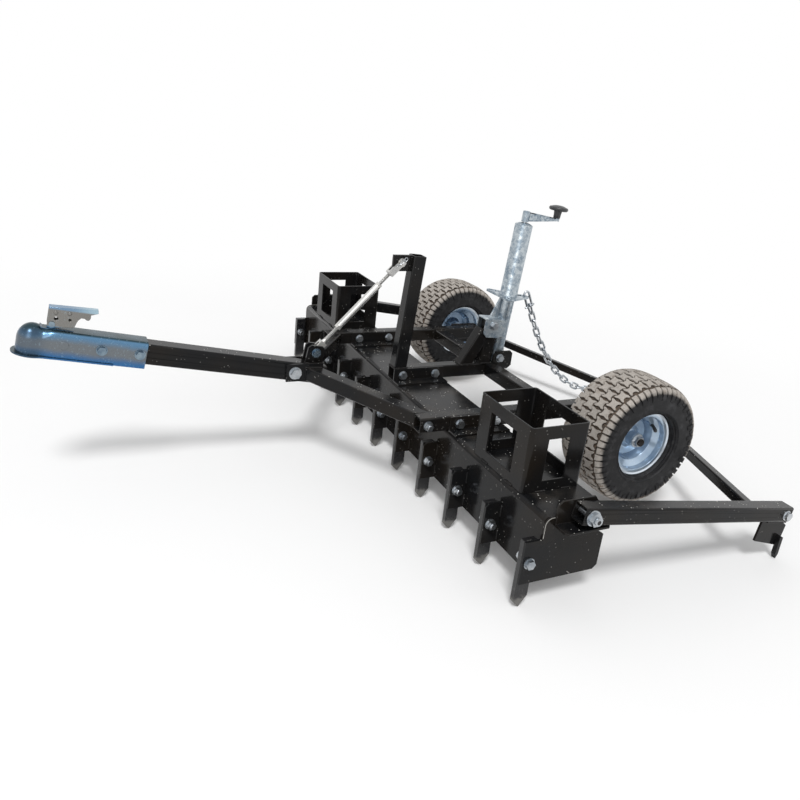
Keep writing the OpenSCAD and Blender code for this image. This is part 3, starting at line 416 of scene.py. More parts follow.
@dataclass(frozen=True)
class PowderCoat(Finish):
    """Glossy black powder coat with fine orange peel, dried drops and pale dust on upper faces.

    Its side faces take a painted brown reflection of the ground in patches.
    """

    color: Triple = (0.0068, 0.0071, 0.0078)
    # Painted reflection: the brown that side faces take in patches, for the ground mirrored in the
    # gloss
    ground_reflection: Triple = (0.0125, 0.0102, 0.0082)
    dust: Triple = (0.2, 0.17, 0.14)
    drop: Triple = (0.5, 0.49, 0.46)
    dust_share: float = 0.1
    gloss: float = 0.13

    def shade(self, graph: Graph) -> None:
        """Fills the graph of the finish's material.

        Args:
            graph: The material's graph.
        """
        up = graph.upward.step(0.2, 0.95)
        film = graph.noise(14.0, 4.0, 0.6).step(0.42, 0.72) * up * self.dust_share
        specks = 1 - graph.cells(120.0).step(0.13, 0.19)
        chosen = graph.noise(38.0, 1.0).step(0.53, 0.58)
        spots = specks * chosen * (up * 0.75 + 0.25)
        # Painted ground reflection in patches on faces that don't face up; the same patches vary
        # the roughness
        gloss_and_reflection_patches = graph.noise(5.0, 5.0, 0.62)
        ground_reflection_share = gloss_and_reflection_patches.step(0.35, 0.7) * (1 - up)
        base = graph.mix(ground_reflection_share, self.color, self.ground_reflection)
        dusty = graph.mix(film, base, self.dust)
        peel = graph.bump(graph.noise(420.0, 2.0), 0.0002, 0.25)
        normal = graph.bump(spots, 0.0003, 0.6, peel)
        rough = gloss_and_reflection_patches * 0.16 + self.gloss - 0.05 + up * 0.06 + (film + spots) * 0.5
        graph.set(
            Base_Color=graph.mix(spots, dusty, self.drop),
            Roughness=rough.clamp(),
            Specular_IOR_Level=0.16,
            Normal=normal,
        )


@dataclass(frozen=True)
class Plated(Finish):
    """Zinc plate: metal with a faint tint, cloudy gloss and a few dull marks."""

    color: Triple = (0.56, 0.58, 0.6)
    shade_color: Triple = (0.27, 0.3, 0.33)
    gloss: float = 0.24
    cloud: float = 30.0
    depth: float = 0.0001

    def shade(self, graph: Graph) -> None:
        """Fills the graph of the finish's material.

        Args:
            graph: The material's graph.
        """
        clouds = graph.noise(self.cloud, 5.0, 0.6)
        marks = graph.noise(self.cloud * 9, 2.0).step(0.6, 0.75)
        color = graph.mix(clouds.step(0.3, 0.75), self.color, self.shade_color)
        graph.set(
            Base_Color=graph.mix(marks * 0.35, color, tuple(c * 0.5 for c in self.shade_color)),
            Metallic=1.0,
            Roughness=(clouds * 0.2 + marks * 0.15 + self.gloss - 0.05).clamp(),
            Normal=graph.bump(graph.noise(self.cloud * 16, 2.0), self.depth, 0.4),
        )


@dataclass(frozen=True)
class Threaded(Plated):
    """Zinc plate on the turnbuckle's ends, with a rolled thread where the bare rods show."""

    foot: Triple = tuple(at(231, 0, 96))
    axis: Triple = (-0.6857, 0.0, 0.7278)
    pitch: float = 0.0018
    rod_r: float = 0.0052
    thread_depth: float = 0.0011
    crest: float = 0.0003
    span: Pair = (0.043, 0.287)
    ease: float = 0.001

    def shade(self, graph: Graph) -> None:
        """Fills the graph of the finish's material.

        Args:
            graph: The material's graph.
        """
        super().shade(graph)
        offset = graph.vector("SUBTRACT", graph.place, self.foot)
        along = graph.vector("DOT_PRODUCT", offset, self.axis, out="Value")
        side = graph.axis("Y", offset)
        up = graph.vector("DOT_PRODUCT", offset, (self.axis[2], 0.0, -self.axis[0]), out="Value")
        turn = side.math("ARCTAN2", up) / math.tau
        wave = ((along / self.pitch + turn) * math.tau).math("SINE") * 0.5 + 0.5
        radius = (side * side + up * up) ** 0.5
        bare = 1 - radius.step(self.rod_r - self.crest, self.rod_r)
        low = along.step(self.span[0], self.span[0] + self.ease)
        high = 1 - along.step(self.span[1] - self.ease, self.span[1])
        graph.set(Normal=graph.bump(wave * (bare * low * high), self.thread_depth, 1.0))


@dataclass(frozen=True)
class BlueZinc(Finish):
    """Blue passivated zinc of the coupler: grey in the middle of its sides, blue at its bends.

    The blue at the bends is a painted sky reflection. Upward faces and the dome are darkened as
    painted reflection. The lever's fold carries a painted reflection, paler toward its handle as a
    painted highlight.
    """

    middle: Triple = (0.15, 0.165, 0.178)
    cheek: Triple = (0.21, 0.204, 0.192)
    # Painted sky reflections at the upper and the lower bend
    edge: Triple = (0.1, 0.21, 0.34)
    foot: Triple = (0.035, 0.13, 0.3)
    # Painted dark reflections on the dome and on upward faces
    dome: Triple = (0.04, 0.075, 0.12)
    top: Triple = (0.025, 0.05, 0.06)
    # Painted reflection on the lever's fold, and painted highlight toward its handle that also
    # colours the pale marks
    fold: Triple = (0.17, 0.27, 0.39)
    pale: Triple = (0.36, 0.5, 0.58)
    hinge: Triple = tuple(DRAWBAR.on(0, 0, 0))
    tilt: float = DRAWBAR.angle
    half_flat: float = 0.006
    bend_width: float = 0.021
    lower_bend: Pair = (-0.012, 0.004)
    lever_foot: Pair = (0.0365, 0.0372)
    fold_foot: Pair = (0.0745, 0.0785)
    nose_span: Pair = (0.575, 0.612)
    handle_span: Pair = (0.488, 0.55)

    def shade(self, graph: Graph) -> None:
        """Fills the graph of the finish's material.

        Args:
            graph: The material's graph.
        """
        offset = graph.vector("SUBTRACT", graph.place, self.hinge)
        across = (-math.sin(self.tilt), 0.0, math.cos(self.tilt))
        height = graph.vector("DOT_PRODUCT", offset, across, out="Value")
        along = graph.vector("DOT_PRODUCT", offset, (across[2], 0.0, -across[0]), out="Value")
        clouds = graph.noise(26.0, 4.0, 0.6)
        wander = (clouds - 0.5) * 0.012
        # Painted sky reflection: blue where a side bends away from its flat middle, deeper at the
        # lower bend
        off_middle = (height + 0.003 + wander).math("ABSOLUTE")
        rim = off_middle.step(self.half_flat, self.half_flat + self.bend_width)
        lever = height.step(*self.lever_foot)
        fold = height.step(*self.fold_foot)
        bend = graph.mix(height.step(*self.lower_bend), self.foot, self.edge)
        # Painted darker reflection toward the dome, strongest at its bends
        nose = along.step(*self.nose_span) * (0.35 + rim * 0.65)
        side = graph.mix(nose, graph.mix(rim, self.middle, bend), self.dome)
        # Painted dark reflection on upward faces
        up = graph.upward.step(0.55, 0.9)
        body = graph.mix(up * (0.75 + clouds * 0.4).clamp(), side, self.top)
        # Painted reflection on the lever's fold, paler toward the handle's rear end as a painted
        # highlight
        handle = graph.mix(1 - along.step(*self.handle_span), self.fold, self.pale)
        cheeks = graph.mix(fold, self.cheek, handle)
        color = graph.mix(lever, body, cheeks)
        marks = graph.noise(210.0, 2.0).step(0.6, 0.75)
        graph.set(
            Base_Color=graph.mix(marks * 0.25, color, self.pale),
            Metallic=0.8,
            Roughness=(clouds * 0.24 + marks * 0.1 + 0.14).clamp(),
            Normal=graph.bump(graph.noise(300.0, 2.0), 0.0001, 0.4),
        )


@dataclass(frozen=True)
class Galvanised(Finish):
    """Hot-dip zinc: flat crystals in many greys over a slightly wavy coat."""

    light: Triple = (0.5, 0.55, 0.58)
    dark: Triple = (0.2, 0.255, 0.31)
    crystal: float = 95.0

    def shade(self, graph: Graph) -> None:
        """Fills the graph of the finish's material.

        Args:
            graph: The material's graph.
        """
        flake = graph.axis("X", graph.cells(self.crystal, out="Color"))
        fine = graph.axis("Y", graph.cells(self.crystal * 2.6, out="Color"))
        drift = graph.noise(22.0, 4.0)
        tone = (flake * 0.4 + fine * 0.25 + drift * 0.6).step(0.3, 0.95)
        graph.set(
            Base_Color=graph.mix(tone, self.light, self.dark),
            Metallic=0.92,
            Roughness=(flake * 0.16 + drift * 0.2 + 0.2).clamp(),
            Normal=graph.bump(drift, 0.0008, 0.35),
        )


@dataclass(frozen=True)
class BareSteel(Finish):
    """Ground steel with brown film and dried soil toward the ground."""

    color: Triple = (0.33, 0.32, 0.31)
    rust: Triple = (0.19, 0.12, 0.075)

    def shade(self, graph: Graph) -> None:
        """Fills the graph of the finish's material.

        Args:
            graph: The material's graph.
        """
        low = 1 - graph.axis("Z").step(0.01, 0.075)
        film = graph.noise(45.0, 5.0, 0.65).step(0.38, 0.7)
        mask = (film * (low * 0.6 + 0.25)).clamp()
        graph.set(
            Base_Color=graph.mix(mask, self.color, self.rust),
            Metallic=(1 - mask) * 0.9,
            Roughness=(film * 0.25 + 0.34 + low * 0.1).clamp(),
            Normal=graph.bump(graph.noise(240.0, 3.0), 0.0004, 0.5),
        )


@dataclass(frozen=True)
class ToothPaint(Finish):
    """Black coat that soil has worn off the tooth's point."""

    paint: Triple = (0.008, 0.008, 0.009)
    steel: Triple = (0.16, 0.155, 0.145)
    worn_height: float = 0.022

    def shade(self, graph: Graph) -> None:
        """Fills the graph of the finish's material.

        Args:
            graph: The material's graph.
        """
        edge = graph.noise(70.0, 4.0) * 0.03 - 0.015
        worn = 1 - (graph.axis("Z") + edge).step(self.worn_height * 0.6, self.worn_height * 1.25)
        specks = graph.noise(160.0, 2.0).step(0.62, 0.72) * 0.3
        film = graph.noise(30.0, 4.0).step(0.4, 0.8)
        graph.set(
            Base_Color=graph.mix((worn * 0.85 + specks).clamp(), self.paint, self.steel),
            Metallic=worn * 0.3,
            Roughness=(film * 0.2 + 0.25 + worn * 0.2).clamp(),
            Normal=graph.bump(graph.noise(300.0, 2.0), 0.0003, 0.4),
        )


@dataclass(frozen=True)
class TyreRubber(Finish):
    """Turf tyre: dark side walls, tread tops pale with dry soil and darker soil in the grooves."""

    rubber: Triple = (0.017, 0.017, 0.018)
    dust: Triple = (0.47, 0.44, 0.405)
    soil: Triple = (0.2, 0.145, 0.105)
    groove: Triple = (0.07, 0.06, 0.052)
    tread_r: float = 0.141
    top_r: float = 0.1622

    def shade(self, graph: Graph) -> None:
        """Fills the graph of the finish's material.

        Args:
            graph: The material's graph.
        """
        r = graph.from_axle
        across = (graph.axis("Y").math("ABSOLUTE") - WHEEL_Y).math("ABSOLUTE")
        wander = graph.noise(55.0, 4.0, 0.65)
        tread = (r + (wander - 0.5) * 0.014).step(self.tread_r, self.tread_r + 0.012)
        crown = self.top_r - (across.step(0.03, 0.0825) ** 2) * 0.019
        tops = (r - crown).step(-0.0016, 0.0006)
        fine = graph.noise(260.0, 4.0, 0.7)
        patch = graph.noise(24.0, 3.0).step(0.3, 0.7)
        uneven = (graph.noise(9.0, 2.0) - 0.5) * 0.3
        clods = (graph.noise(75.0, 3.0, 0.6) + uneven).step(0.54, 0.66)
        splash = graph.noise(120.0, 3.0, 0.7).step(0.62, 0.72) * 0.45
        low = 1 - graph.axis("Z").step(0.07, 0.2)
        pale = graph.mix((fine - 0.35).clamp(), self.dust, self.soil)
        earth = graph.mix((clods * (0.35 + low * 0.65)).clamp(), pale, self.soil)
        deep = graph.mix(fine.step(0.4, 0.7), self.groove, self.soil)
        soiled = graph.mix(tops, deep, earth)
        side = graph.mix(wander.step(0.45, 0.85), self.rubber, tuple(c * 3 for c in self.rubber))
        film = (tread * (patch * 0.12 + 0.86) + splash * (low * 0.8 + 0.2) * (1 - tread)).clamp()
        graph.set(
            Base_Color=graph.mix(film, side, soiled),
            Roughness=(film * 0.42 + 0.48).clamp(),
            Specular_IOR_Level=0.15,
            Normal=graph.bump((fine + clods * 0.6) * (film * 0.8 + 0.2), 0.0016, 0.7),
        )


@dataclass(frozen=True)
class RimPaint(Finish):
    """Glossy wheel paint: blue in the dish, a painted pale highlight at the flange, with a few soil
    splashes.
    """

    color: Triple = (0.44, 0.55, 0.67)
    deep: Triple = (0.15, 0.235, 0.35)
    # Painted highlight colour of the flange
    lip: Triple = (0.7, 0.77, 0.85)
    soil: Triple = (0.2, 0.14, 0.1)

    def shade(self, graph: Graph) -> None:
        """Fills the graph of the finish's material.

        Args:
            graph: The material's graph.
        """
        r = graph.from_axle
        drift = graph.noise(9.0, 3.0).step(0.35, 0.7)
        # Painted highlight: the flange beyond the dish turns pale
        flange = r.step(0.076, 0.083)
        dish = graph.mix(drift, self.color, self.deep)
        specks = (1 - graph.cells(150.0).step(0.08, 0.16)) * graph.noise(40.0, 2.0).step(0.55, 0.6)
        graph.set(
            Base_Color=graph.mix(specks * 0.7, graph.mix(flange, dish, self.lip), self.soil),
            Metallic=0.55,
            Roughness=(drift * 0.08 + 0.16 + specks * 0.4).clamp(),
            Coat_Weight=0.6,
            Coat_Roughness=0.08,
            Normal=graph.bump(graph.noise(120.0, 2.0), 0.0002, 0.25),
        )


@dataclass(frozen=True)
class Moulded(Finish):
    """Moulded plastic or rubber with a fine grain."""

    color: Triple = (0.03, 0.031, 0.033)
    rough: float = 0.36

    def shade(self, graph: Graph) -> None:
        """Fills the graph of the finish's material.

        Args:
            graph: The material's graph.
        """
        scuffs = graph.noise(60.0, 4.0, 0.65).step(0.5, 0.75)
        graph.set(
            Base_Color=graph.mix(scuffs * 0.4, self.color, tuple(c * 2.4 for c in self.color)),
            Roughness=(scuffs * 0.2 + self.rough).clamp(),
            Normal=graph.bump(graph.noise(900.0, 2.0), 0.0002, 0.5),
        )


@dataclass(frozen=True)
class FloorPaint(Finish):
    """Matt pale floor that keeps the shadow near the machine and fades to white farther off."""

    color: Triple = (0.9, 0.9, 0.9)
    near: float = 1.2
    far: float = 2.6

    def shade(self, graph: Graph) -> None:
        """Fills the graph of the finish's material.

        Args:
            graph: The material's graph.
        """
        tone = graph.noise(1.3, 3.0).step(0.3, 0.7)
        graph.set(
            Base_Color=graph.mix(tone, self.color, tuple(c * 0.99 for c in self.color)),
            Roughness=0.8,
            Specular_IOR_Level=0.1,
        )
        distance = graph.vector("LENGTH", graph.place, (0.0, 0.0, 0.0), out="Value")
        share = distance.step(self.near, self.far) * graph.background
        glow = {"Color": (1.0, 1.0, 1.0), "Strength": 1.0}
        white = graph.node("ShaderNodeEmission", None, glow)
        paint = Sock(graph, graph.shader.outputs[0])
        surface = graph.node("ShaderNodeMixShader", None, {0: share, 1: paint, 2: white})
        graph.feed(graph.tree.nodes["Material Output"].inputs["Surface"], surface)


BLACK = PowderCoat("black_powder_coat")
TOOTH = ToothPaint("tooth_paint")
STEEL = BareSteel("ground_steel")
ZINC = Plated("bright_zinc")
BLUE_ZINC = BlueZinc("blue_passivate")
BLUE_BOLT = Plated("blue_bolts", (0.25, 0.32, 0.37), (0.1, 0.15, 0.21), gloss=0.2, cloud=60.0)
ROD = Threaded("threaded_zinc", (0.66, 0.65, 0.62), (0.5, 0.5, 0.5), gloss=0.3, cloud=40.0)
TURNED = Plated("satin_steel", (0.66, 0.65, 0.62), (0.5, 0.5, 0.5), gloss=0.3, cloud=40.0)
SPANGLE = Galvanised("hot_dip_zinc")
TYRE = TyreRubber("turf_tyre")
RIM = RimPaint("wheel_enamel")
KNOB = Moulded("moulded_knob")
STEM = Moulded("valve_rubber", (0.02, 0.02, 0.02), rough=0.5)
SCUFF = Moulded("scuffed_edge", (0.27, 0.26, 0.24), rough=0.5)
# Painted shade for the hollow ends of the pivot bolts
HOLLOW_SHADE = Moulded("bolt_hollow", (0.012, 0.012, 0.013), rough=0.6)
FLOOR = FloorPaint("pale_floor")


class Mesh:
    """A bmesh on its way to one finished piece."""

    def __init__(self) -> None:
        """Starts an empty bmesh."""
        self.bm = bmesh.new()

    def loop(self, verts: Sequence[bmesh.types.BMVert]) -> list[bmesh.types.BMEdge]:
        """Joins vertices to a closed loop, with the edges that are there or new ones.

        Args:
            verts: The loop's vertices in order.

        Returns:
            Its edges.
        """
        pairs = zip(verts, [*verts[1:], verts[0]])
        return [self.bm.edges.get(pair) or self.bm.edges.new(pair) for pair in pairs]

    def finish(
        self,
        name: str,
        body: str,
        slot: str,
        finish: Finish,
        smooth: float = 35.0,
    ) -> bpy.types.Object:
        """Writes the mesh, dresses it and lets it ride.

        Args:
            name: The piece's name.
            body: The CAD body that it rides on.
            slot: The record's material slot; not used.
            finish: Its finish.
            smooth: Angle in degrees below which edges shade smoothly.

        Returns:
            The piece.
        """
        bmesh.ops.remove_doubles(self.bm, verts=self.bm.verts, dist=1e-6)
        bmesh.ops.recalc_face_normals(self.bm, faces=self.bm.faces)
        limit = math.radians(smooth)
        for face in self.bm.faces:
            face.smooth = True
        for edge in self.bm.edges:
            edge.smooth = len(edge.link_faces) == 2 and edge.calc_face_angle(0.0) < limit
        data = bpy.data.meshes.new(name)
        self.bm.to_mesh(data)
        self.bm.free()
        piece = bpy.data.objects.new(name, data)
        bpy.context.scene.collection.objects.link(piece)
        data.materials.append(finish.material())
        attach(piece, body)
        LOG.info("%s: %d faces on %s", name, len(data.polygons), body)
        return piece

    @staticmethod
    def placed(point: Vector, axis: Vector) -> Matrix:
        """The matrix that moves the origin to a point and turns z to an axis."""
        turn = Vector((0, 0, 1)).rotation_difference(axis.normalized())
        return Matrix.Translation(point) @ turn.to_matrix().to_4x4()

    def tube(self, points: Sequence[Vector], radii: Sequence[float], sides: int) -> None:
        """Runs a closed tube along points.

        Args:
            points: The tube's middle line.
            radii: Its radius at each point.
            sides: Sides of its section.
        """
        last = len(points) - 1
        rings = []
        for i, (point, radius) in enumerate(zip(points, radii)):
            ahead = points[min(i + 1, last)] - points[max(i - 1, 0)]
            made = bmesh.ops.create_circle(
                self.bm,
                cap_ends=i in (0, last),
                segments=sides,
                radius=radius,
                matrix=self.placed(point, ahead),
            )
            rings.append(list({edge for vert in made["verts"] for edge in vert.link_edges}))
        for a, b in zip(rings, rings[1:]):
            bmesh.ops.bridge_loops(self.bm, edges=a + b)

    def prism(
        self,
        outline: Sequence[Vector],
        run: Vector,
        holes: Sequence[Sequence[Vector]] = (),
    ) -> None:
        """Extrudes a flat outline.

        Args:
            outline: Its corners.
            run: The extrusion's length and direction.
            holes: Corners of each hole through it.
        """
        rims = []
        for corners in (outline, *holes):
            rims += self.loop([self.bm.verts.new(corner) for corner in corners])
        filled = bmesh.ops.triangle_fill(
            self.bm,
            use_beauty=True,
            edges=rims,
            normal=run.normalized(),
        )
        faces = [item for item in filled["geom"] if isinstance(item, bmesh.types.BMFace)]
        made = bmesh.ops.extrude_face_region(self.bm, geom=faces, use_keep_orig=True)
        moved = [item for item in made["geom"] if isinstance(item, bmesh.types.BMVert)]
        bmesh.ops.translate(self.bm, verts=moved, vec=run)

    def lathe(
        self,
        profile: Sequence[Pair],
        center: Vector,
        axis: Vector,
        steps: int = 48,
    ) -> None:
        """Spins a closed outline round an axis.

        Args:
            profile: Radius and height along the axis of each corner.
            center: The axis's zero.
            axis: Its direction.
            steps: Steps in a full turn.
        """
        frame = self.placed(center, axis)
        verts = [self.bm.verts.new(frame @ Vector((r, 0, h))) for r, h in profile]
        bmesh.ops.spin(
            self.bm,
            geom=verts + self.loop(verts),
            cent=center,
            axis=axis.normalized(),
            angle=math.tau,
            steps=steps,
            use_merge=True,
        )


@dataclass
class TurfTyre:
    """One turf tyre: an inflated carcass with staggered tread blocks and shoulder bars.

    The bars are given by where they start and end, as distances across the tread. The tops are
    given as shares of their feet, and the bars' fade as their lift at the start and its change.
    """

    side: Side
    radius: float = 0.165
    half_width: float = 0.0823
    bead_r: float = 0.0765
    bead_half: float = 0.0487
    lip_r: float = 0.0884
    wall: float = 0.008
    depth: float = 0.0055
    squareness: float = 0.55
    rows: int = 4
    count: int = 36
    bars: int = 54
    crown_half: float = 0.06
    groove: float = 0.0036
    seat_r: float = 0.0762
    sunk: float = 0.001
    nest: float = 1.6
    block_top: Pair = (0.95, 0.94)
    uneven: Pair = (-0.0004, 0.0002)
    long_bar: Pair = (0.0665, 0.103)
    short_bar: Pair = (0.0645, 0.093)
    bar_steps: int = 7
    bar_top: float = 0.9
    bar_taper: float = 0.12
    bar_fade: Pair = (-0.0002, -0.0042)
    find: Measure = field(init=False)

    def __post_init__(self) -> None:
        """Measures the skin once for every block."""
        self.find = self.across()

    @property
    def center(self) -> Vector:
        """The wheel's middle."""
        return Vector((WHEEL_X, self.side.value * WHEEL_Y, WHEEL_Z))

    @property
    def middle_r(self) -> float:
        """Radius at the widest place."""
        return (self.radius + self.seat_r) / 2 - 0.003

    @property
    def foot(self) -> float:
        """Lift of the tread's feet, which start a little inside the carcass."""
        return -self.depth - self.sunk

    def skin(self, angle: float, lift: float) -> Pair:
        """A point of the upper skin.

        Args:
            angle: 0 at one side, pi at the other.
            lift: Distance outside the plain outline.

        Returns:
            Radius and y of the point.
        """
        c, s = math.cos(angle), math.sin(angle)
        y = math.copysign(abs(c) ** self.squareness, c) * (self.half_width + lift)
        return self.middle_r + abs(s) ** self.squareness * (self.radius - self.middle_r + lift), y

    def across(self) -> Measure:
        """Measures the skin, so that a distance across the tread gives its point.

        Returns:
            A function of the distance from the middle and the lift, giving radius and y.
        """
        count = 600
        angles = [math.pi / 2 * (1 - i / count) for i in range(count + 1)]
        points = [self.skin(angle, 0.0) for angle in angles]
        run = [0.0]
        for a, b in zip(points, points[1:]):
            run.append(run[-1] + math.dist(a, b))

        def find(distance: float, lift: float) -> Pair:
            """Finds the point at a distance from the middle.

            Args:
                distance: Distance across the tread.
                lift: Height over the plain outline.

            Returns:
                Radius and y of the point.
            """
            want = min(abs(distance), run[-1] * 0.999)
            i = next(k for k, value in enumerate(run) if value > want)
            share = (want - run[i - 1]) / (run[i] - run[i - 1])
            angle = angles[i - 1] + (angles[i] - angles[i - 1]) * share
            r, y = self.skin(angle, lift)
            return r, math.copysign(y, distance)

        return find

    def carcass(self) -> list[Pair]:
        """Draws the closed section of the tyre under its tread.

        Returns:
            Radius and y of each corner.
        """
        steps = 22
        drop = 0.45 * (self.middle_r - self.seat_r + 0.004)
        upper = [self.skin(math.pi * i / steps, -self.depth) for i in range(steps + 1)]
        low = self.middle_r - drop
        outer = [
            (low + 0.0015, self.half_width - 0.0052),
            (low + 0.001, self.half_width - 0.0043),
            (low - 0.0002, self.half_width - 0.0043),
            (low - 0.0008, self.half_width - 0.0062),
            (low - 0.004, self.half_width - 0.009),
            (low - 0.0045, self.half_width - 0.0125),
            (low - 0.0075, self.half_width - 0.0135),
            (low - 0.0081, self.half_width - 0.0128),
            (low - 0.0094, self.half_width - 0.0131),
            (low - 0.0098, self.half_width - 0.0145),
            (self.lip_r + 0.0045, self.bead_half + 0.0125),
            (self.lip_r + 0.0006, self.bead_half + 0.0065),
            (self.lip_r, self.bead_half),
            (self.bead_r, self.bead_half),
        ]
        inner_half = self.bead_half - self.wall
        inner = [
            (self.bead_r, inner_half),
            (self.lip_r + self.wall, inner_half),
            (self.lip_r + 0.011, inner_half + 0.012),
            (low + 0.004, self.half_width - 0.017),
        ]
        inside = [self.skin(math.pi * i / 10, -self.wall - self.depth) for i in range(1, 10)]
        right = [(r, -y) for r, y in reversed(outer)]
        right_inner = [(r, -y) for r, y in inner]
        left = [(r, y) for r, y in reversed(upper)]
        return right + left + outer + inner + inside + list(reversed(right_inner))

    def block(self, half_u: float, half_v: float) -> list[Pair]:
        """Outline of a tread block: an hourglass whose flared ends nest in the next rows' waists.

        Args:
            half_u: Half the length along the tread.
            half_v: Half the width across it.

        Returns:
            The outline's corners.
        """
        quarter = [
            (half_u * 0.8, 0.0),
            (half_u * 0.88, half_v * 0.34),
            (half_u, half_v * 0.6),
            (half_u * 0.97, half_v * 0.97),
            (half_u * 0.78, half_v),
            (half_u * 0.4, half_v * 0.66),
            (0.0, half_v * 0.58),
        ]
        upper = quarter + [(-u, v) for u, v in reversed(quarter[:-1])]
        return upper + [(u, -v) for u, v in reversed(upper[1:-1])]

    def build(self) -> bpy.types.Object:
        """Builds the tyre and lets it stand for the plain one.

        Returns:
            The tyre.
        """
        mesh = Mesh()
        mesh.lathe(self.carcass(), self.center, Vector((0, 1, 0)), 96)
        rng = random.Random(7 + self.side.value)
        pitch_v = 2 * self.crown_half / self.rows
        pitch_u = math.tau / self.count
        reach = (pitch_v - self.groove) / self.nest
        half_u = pitch_u * self.radius / 2 - self.groove / 2
        for row in range(self.rows):
            v0 = -self.crown_half + pitch_v * (row + 0.5)
            for k in range(self.count):
                turn = pitch_u * (k + 0.5 * (row % 2))
                outline = self.block(half_u, reach)
                self.raise_block(mesh, turn, v0, outline, rng.uniform(*self.uneven))
        bar_u = math.tau / self.bars
        for side in (-1, 1):
            for k in range(self.bars):
                span = self.short_bar if k % 2 else self.long_bar
                self.raise_bar(mesh, bar_u * (k + 0.25 * side), side, span)
        word = self.side.word
        piece = mesh.finish(f"turf_tyre_{word}", f"wheel_{word}", "tyre_rubber", TYRE, 40.0)
        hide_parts(f"tyre_{word}")
        return piece

    def lay(self, turn: float, u: float, v: float, lift: float) -> Vector:
        """Bends a flat point of the tread round the tyre.

        Args:
            turn: The angle of the block.
            u: Distance along the tread.
            v: Distance across the tread.
            lift: Height over the plain outline.

        Returns:
            The point in the part's frame.
        """
        r, y = self.find(v, lift)
        angle = turn + u / self.radius
        return self.center + Vector((r * math.cos(angle), y, r * math.sin(angle)))

    def raise_block(
        self,
        mesh: Mesh,
        turn: float,
        v0: float,
        outline: Sequence[Pair],
        lift: float,
    ) -> None:
        """Raises one block: its outline becomes a face that is extruded and drawn in at the top.

        Args:
            mesh: The tyre's mesh.
            turn: The block's angle.
            v0: Its middle across the tread.
            outline: Its corners.
            lift: Height of its top over the plain outline.
        """
        corners = [self.lay(turn, u, v0 + v, self.foot) for u, v in outline]
        verts = [mesh.bm.verts.new(corner) for corner in corners]
        face = mesh.bm.faces.new(verts)
        made = bmesh.ops.extrude_face_region(mesh.bm, geom=[face])
        tops = [item for item in made["geom"] if isinstance(item, bmesh.types.BMVert)]
        top_u, top_v = self.block_top
        for vert, (u, v) in zip(tops, self.match(tops, verts, outline)):
            vert.co = self.lay(turn, u * top_u, v0 + v * top_v, min(lift, 0.0))

    @staticmethod
    def match(
        tops: Sequence[bmesh.types.BMVert],
        feet: Sequence[bmesh.types.BMVert],
        outline: Sequence[Pair],
    ) -> list[Pair]:
        """The flat corner that each extruded vertex came from.

        Args:
            tops: The extruded vertices, still at their feet.
            feet: The outline's vertices.
            outline: Their flat corners.

        Returns:
            One flat corner for each top vertex.
        """
        pairs = list(zip(feet, outline))
        nearest = [min(pairs, key=lambda pair: (pair[0].co - top.co).length) for top in tops]
        return [corner for _, corner in nearest]

    def raise_bar(self, mesh: Mesh, turn: float, side: int, span: Pair) -> None:
        """Raises one shoulder bar that runs over the shoulder and fades into the side wall.

        Args:
            mesh: The tyre's mesh.
            turn: The bar's angle.
            side: The side of the tyre.
            span: Its start and its end, as distances from the tread's middle.
        """
        start, end = span
        high, change = self.bar_fade
        half = math.tau * self.radius / self.bars / 2 - self.groove / 2
        rings = []
        for i in range(self.bar_steps + 1):
            share = i / self.bar_steps
            v = side * (start + (end - start) * share)
            lift = high + change * share**2
            width = half * (1 - self.bar_taper * share)
            narrow = width * self.bar_top
            flat = [(-width, self.foot), (-narrow, lift), (narrow, lift), (width, self.foot)]
            rings.append([mesh.bm.verts.new(self.lay(turn, u, v, h)) for u, h in flat])
        for a, b in zip(rings, rings[1:]):
            bmesh.ops.bridge_loops(mesh.bm, edges=mesh.loop(a) + mesh.loop(b))
        mesh.bm.faces.new(rings[0])
        mesh.bm.faces.new(rings[-1])


@dataclass
class Seams:
    """Weld beads along the seams of one body's black steelwork."""

    name: str = "welds"
    body: str = "frame"
    radius: float = 0.0026
    ripple: float = 0.0034
    crest: float = 1.14
    fall: float = 0.14
    uneven: float = 0.06
    thin: float = 0.45
    sides: int = 7
    finish: Finish = BLACK

    def runs(self) -> list[list[Vector]]:
        """Corners of each run of weld."""
        raise NotImplementedError

    def walk(self, run: Sequence[Vector]) -> list[Vector]:
        """Splits a run into steps of a third of a ripple.

        Args:
            run: The run's corners.

        Returns:
            The points along it.
        """
        points = [run[0]]
        for a, b in zip(run, run[1:]):
            count = max(1, round((b - a).length / (self.ripple / 3)))
            points += [a.lerp(b, (i + 1) / count) for i in range(count)]
        return points

    def swell(self, count: int, rng: random.Random) -> list[float]:
        """The bead's radius at each step, with scale-like ripples and thin ends.

        Args:
            count: Number of steps.
            rng: Source of its small unevenness.

        Returns:
            The radii.
        """
        radii = []
        for i in range(count):
            share = self.crest - self.fall * (i % 3) + rng.uniform(-self.uneven, self.uneven)
            radii.append(self.radius * share)
        radii[0] = radii[-1] = self.radius * self.thin
        return radii

    def build(self) -> bpy.types.Object:
        """Builds all of the body's beads as one piece.

        Returns:
            The piece.
        """
        mesh = Mesh()
        rng = random.Random(self.name)
        for run in self.runs():
            points = self.walk(run)
            mesh.tube(points, self.swell(len(points), rng), self.sides)
        return mesh.finish(self.name, self.body, "black_paint", self.finish, 60.0)


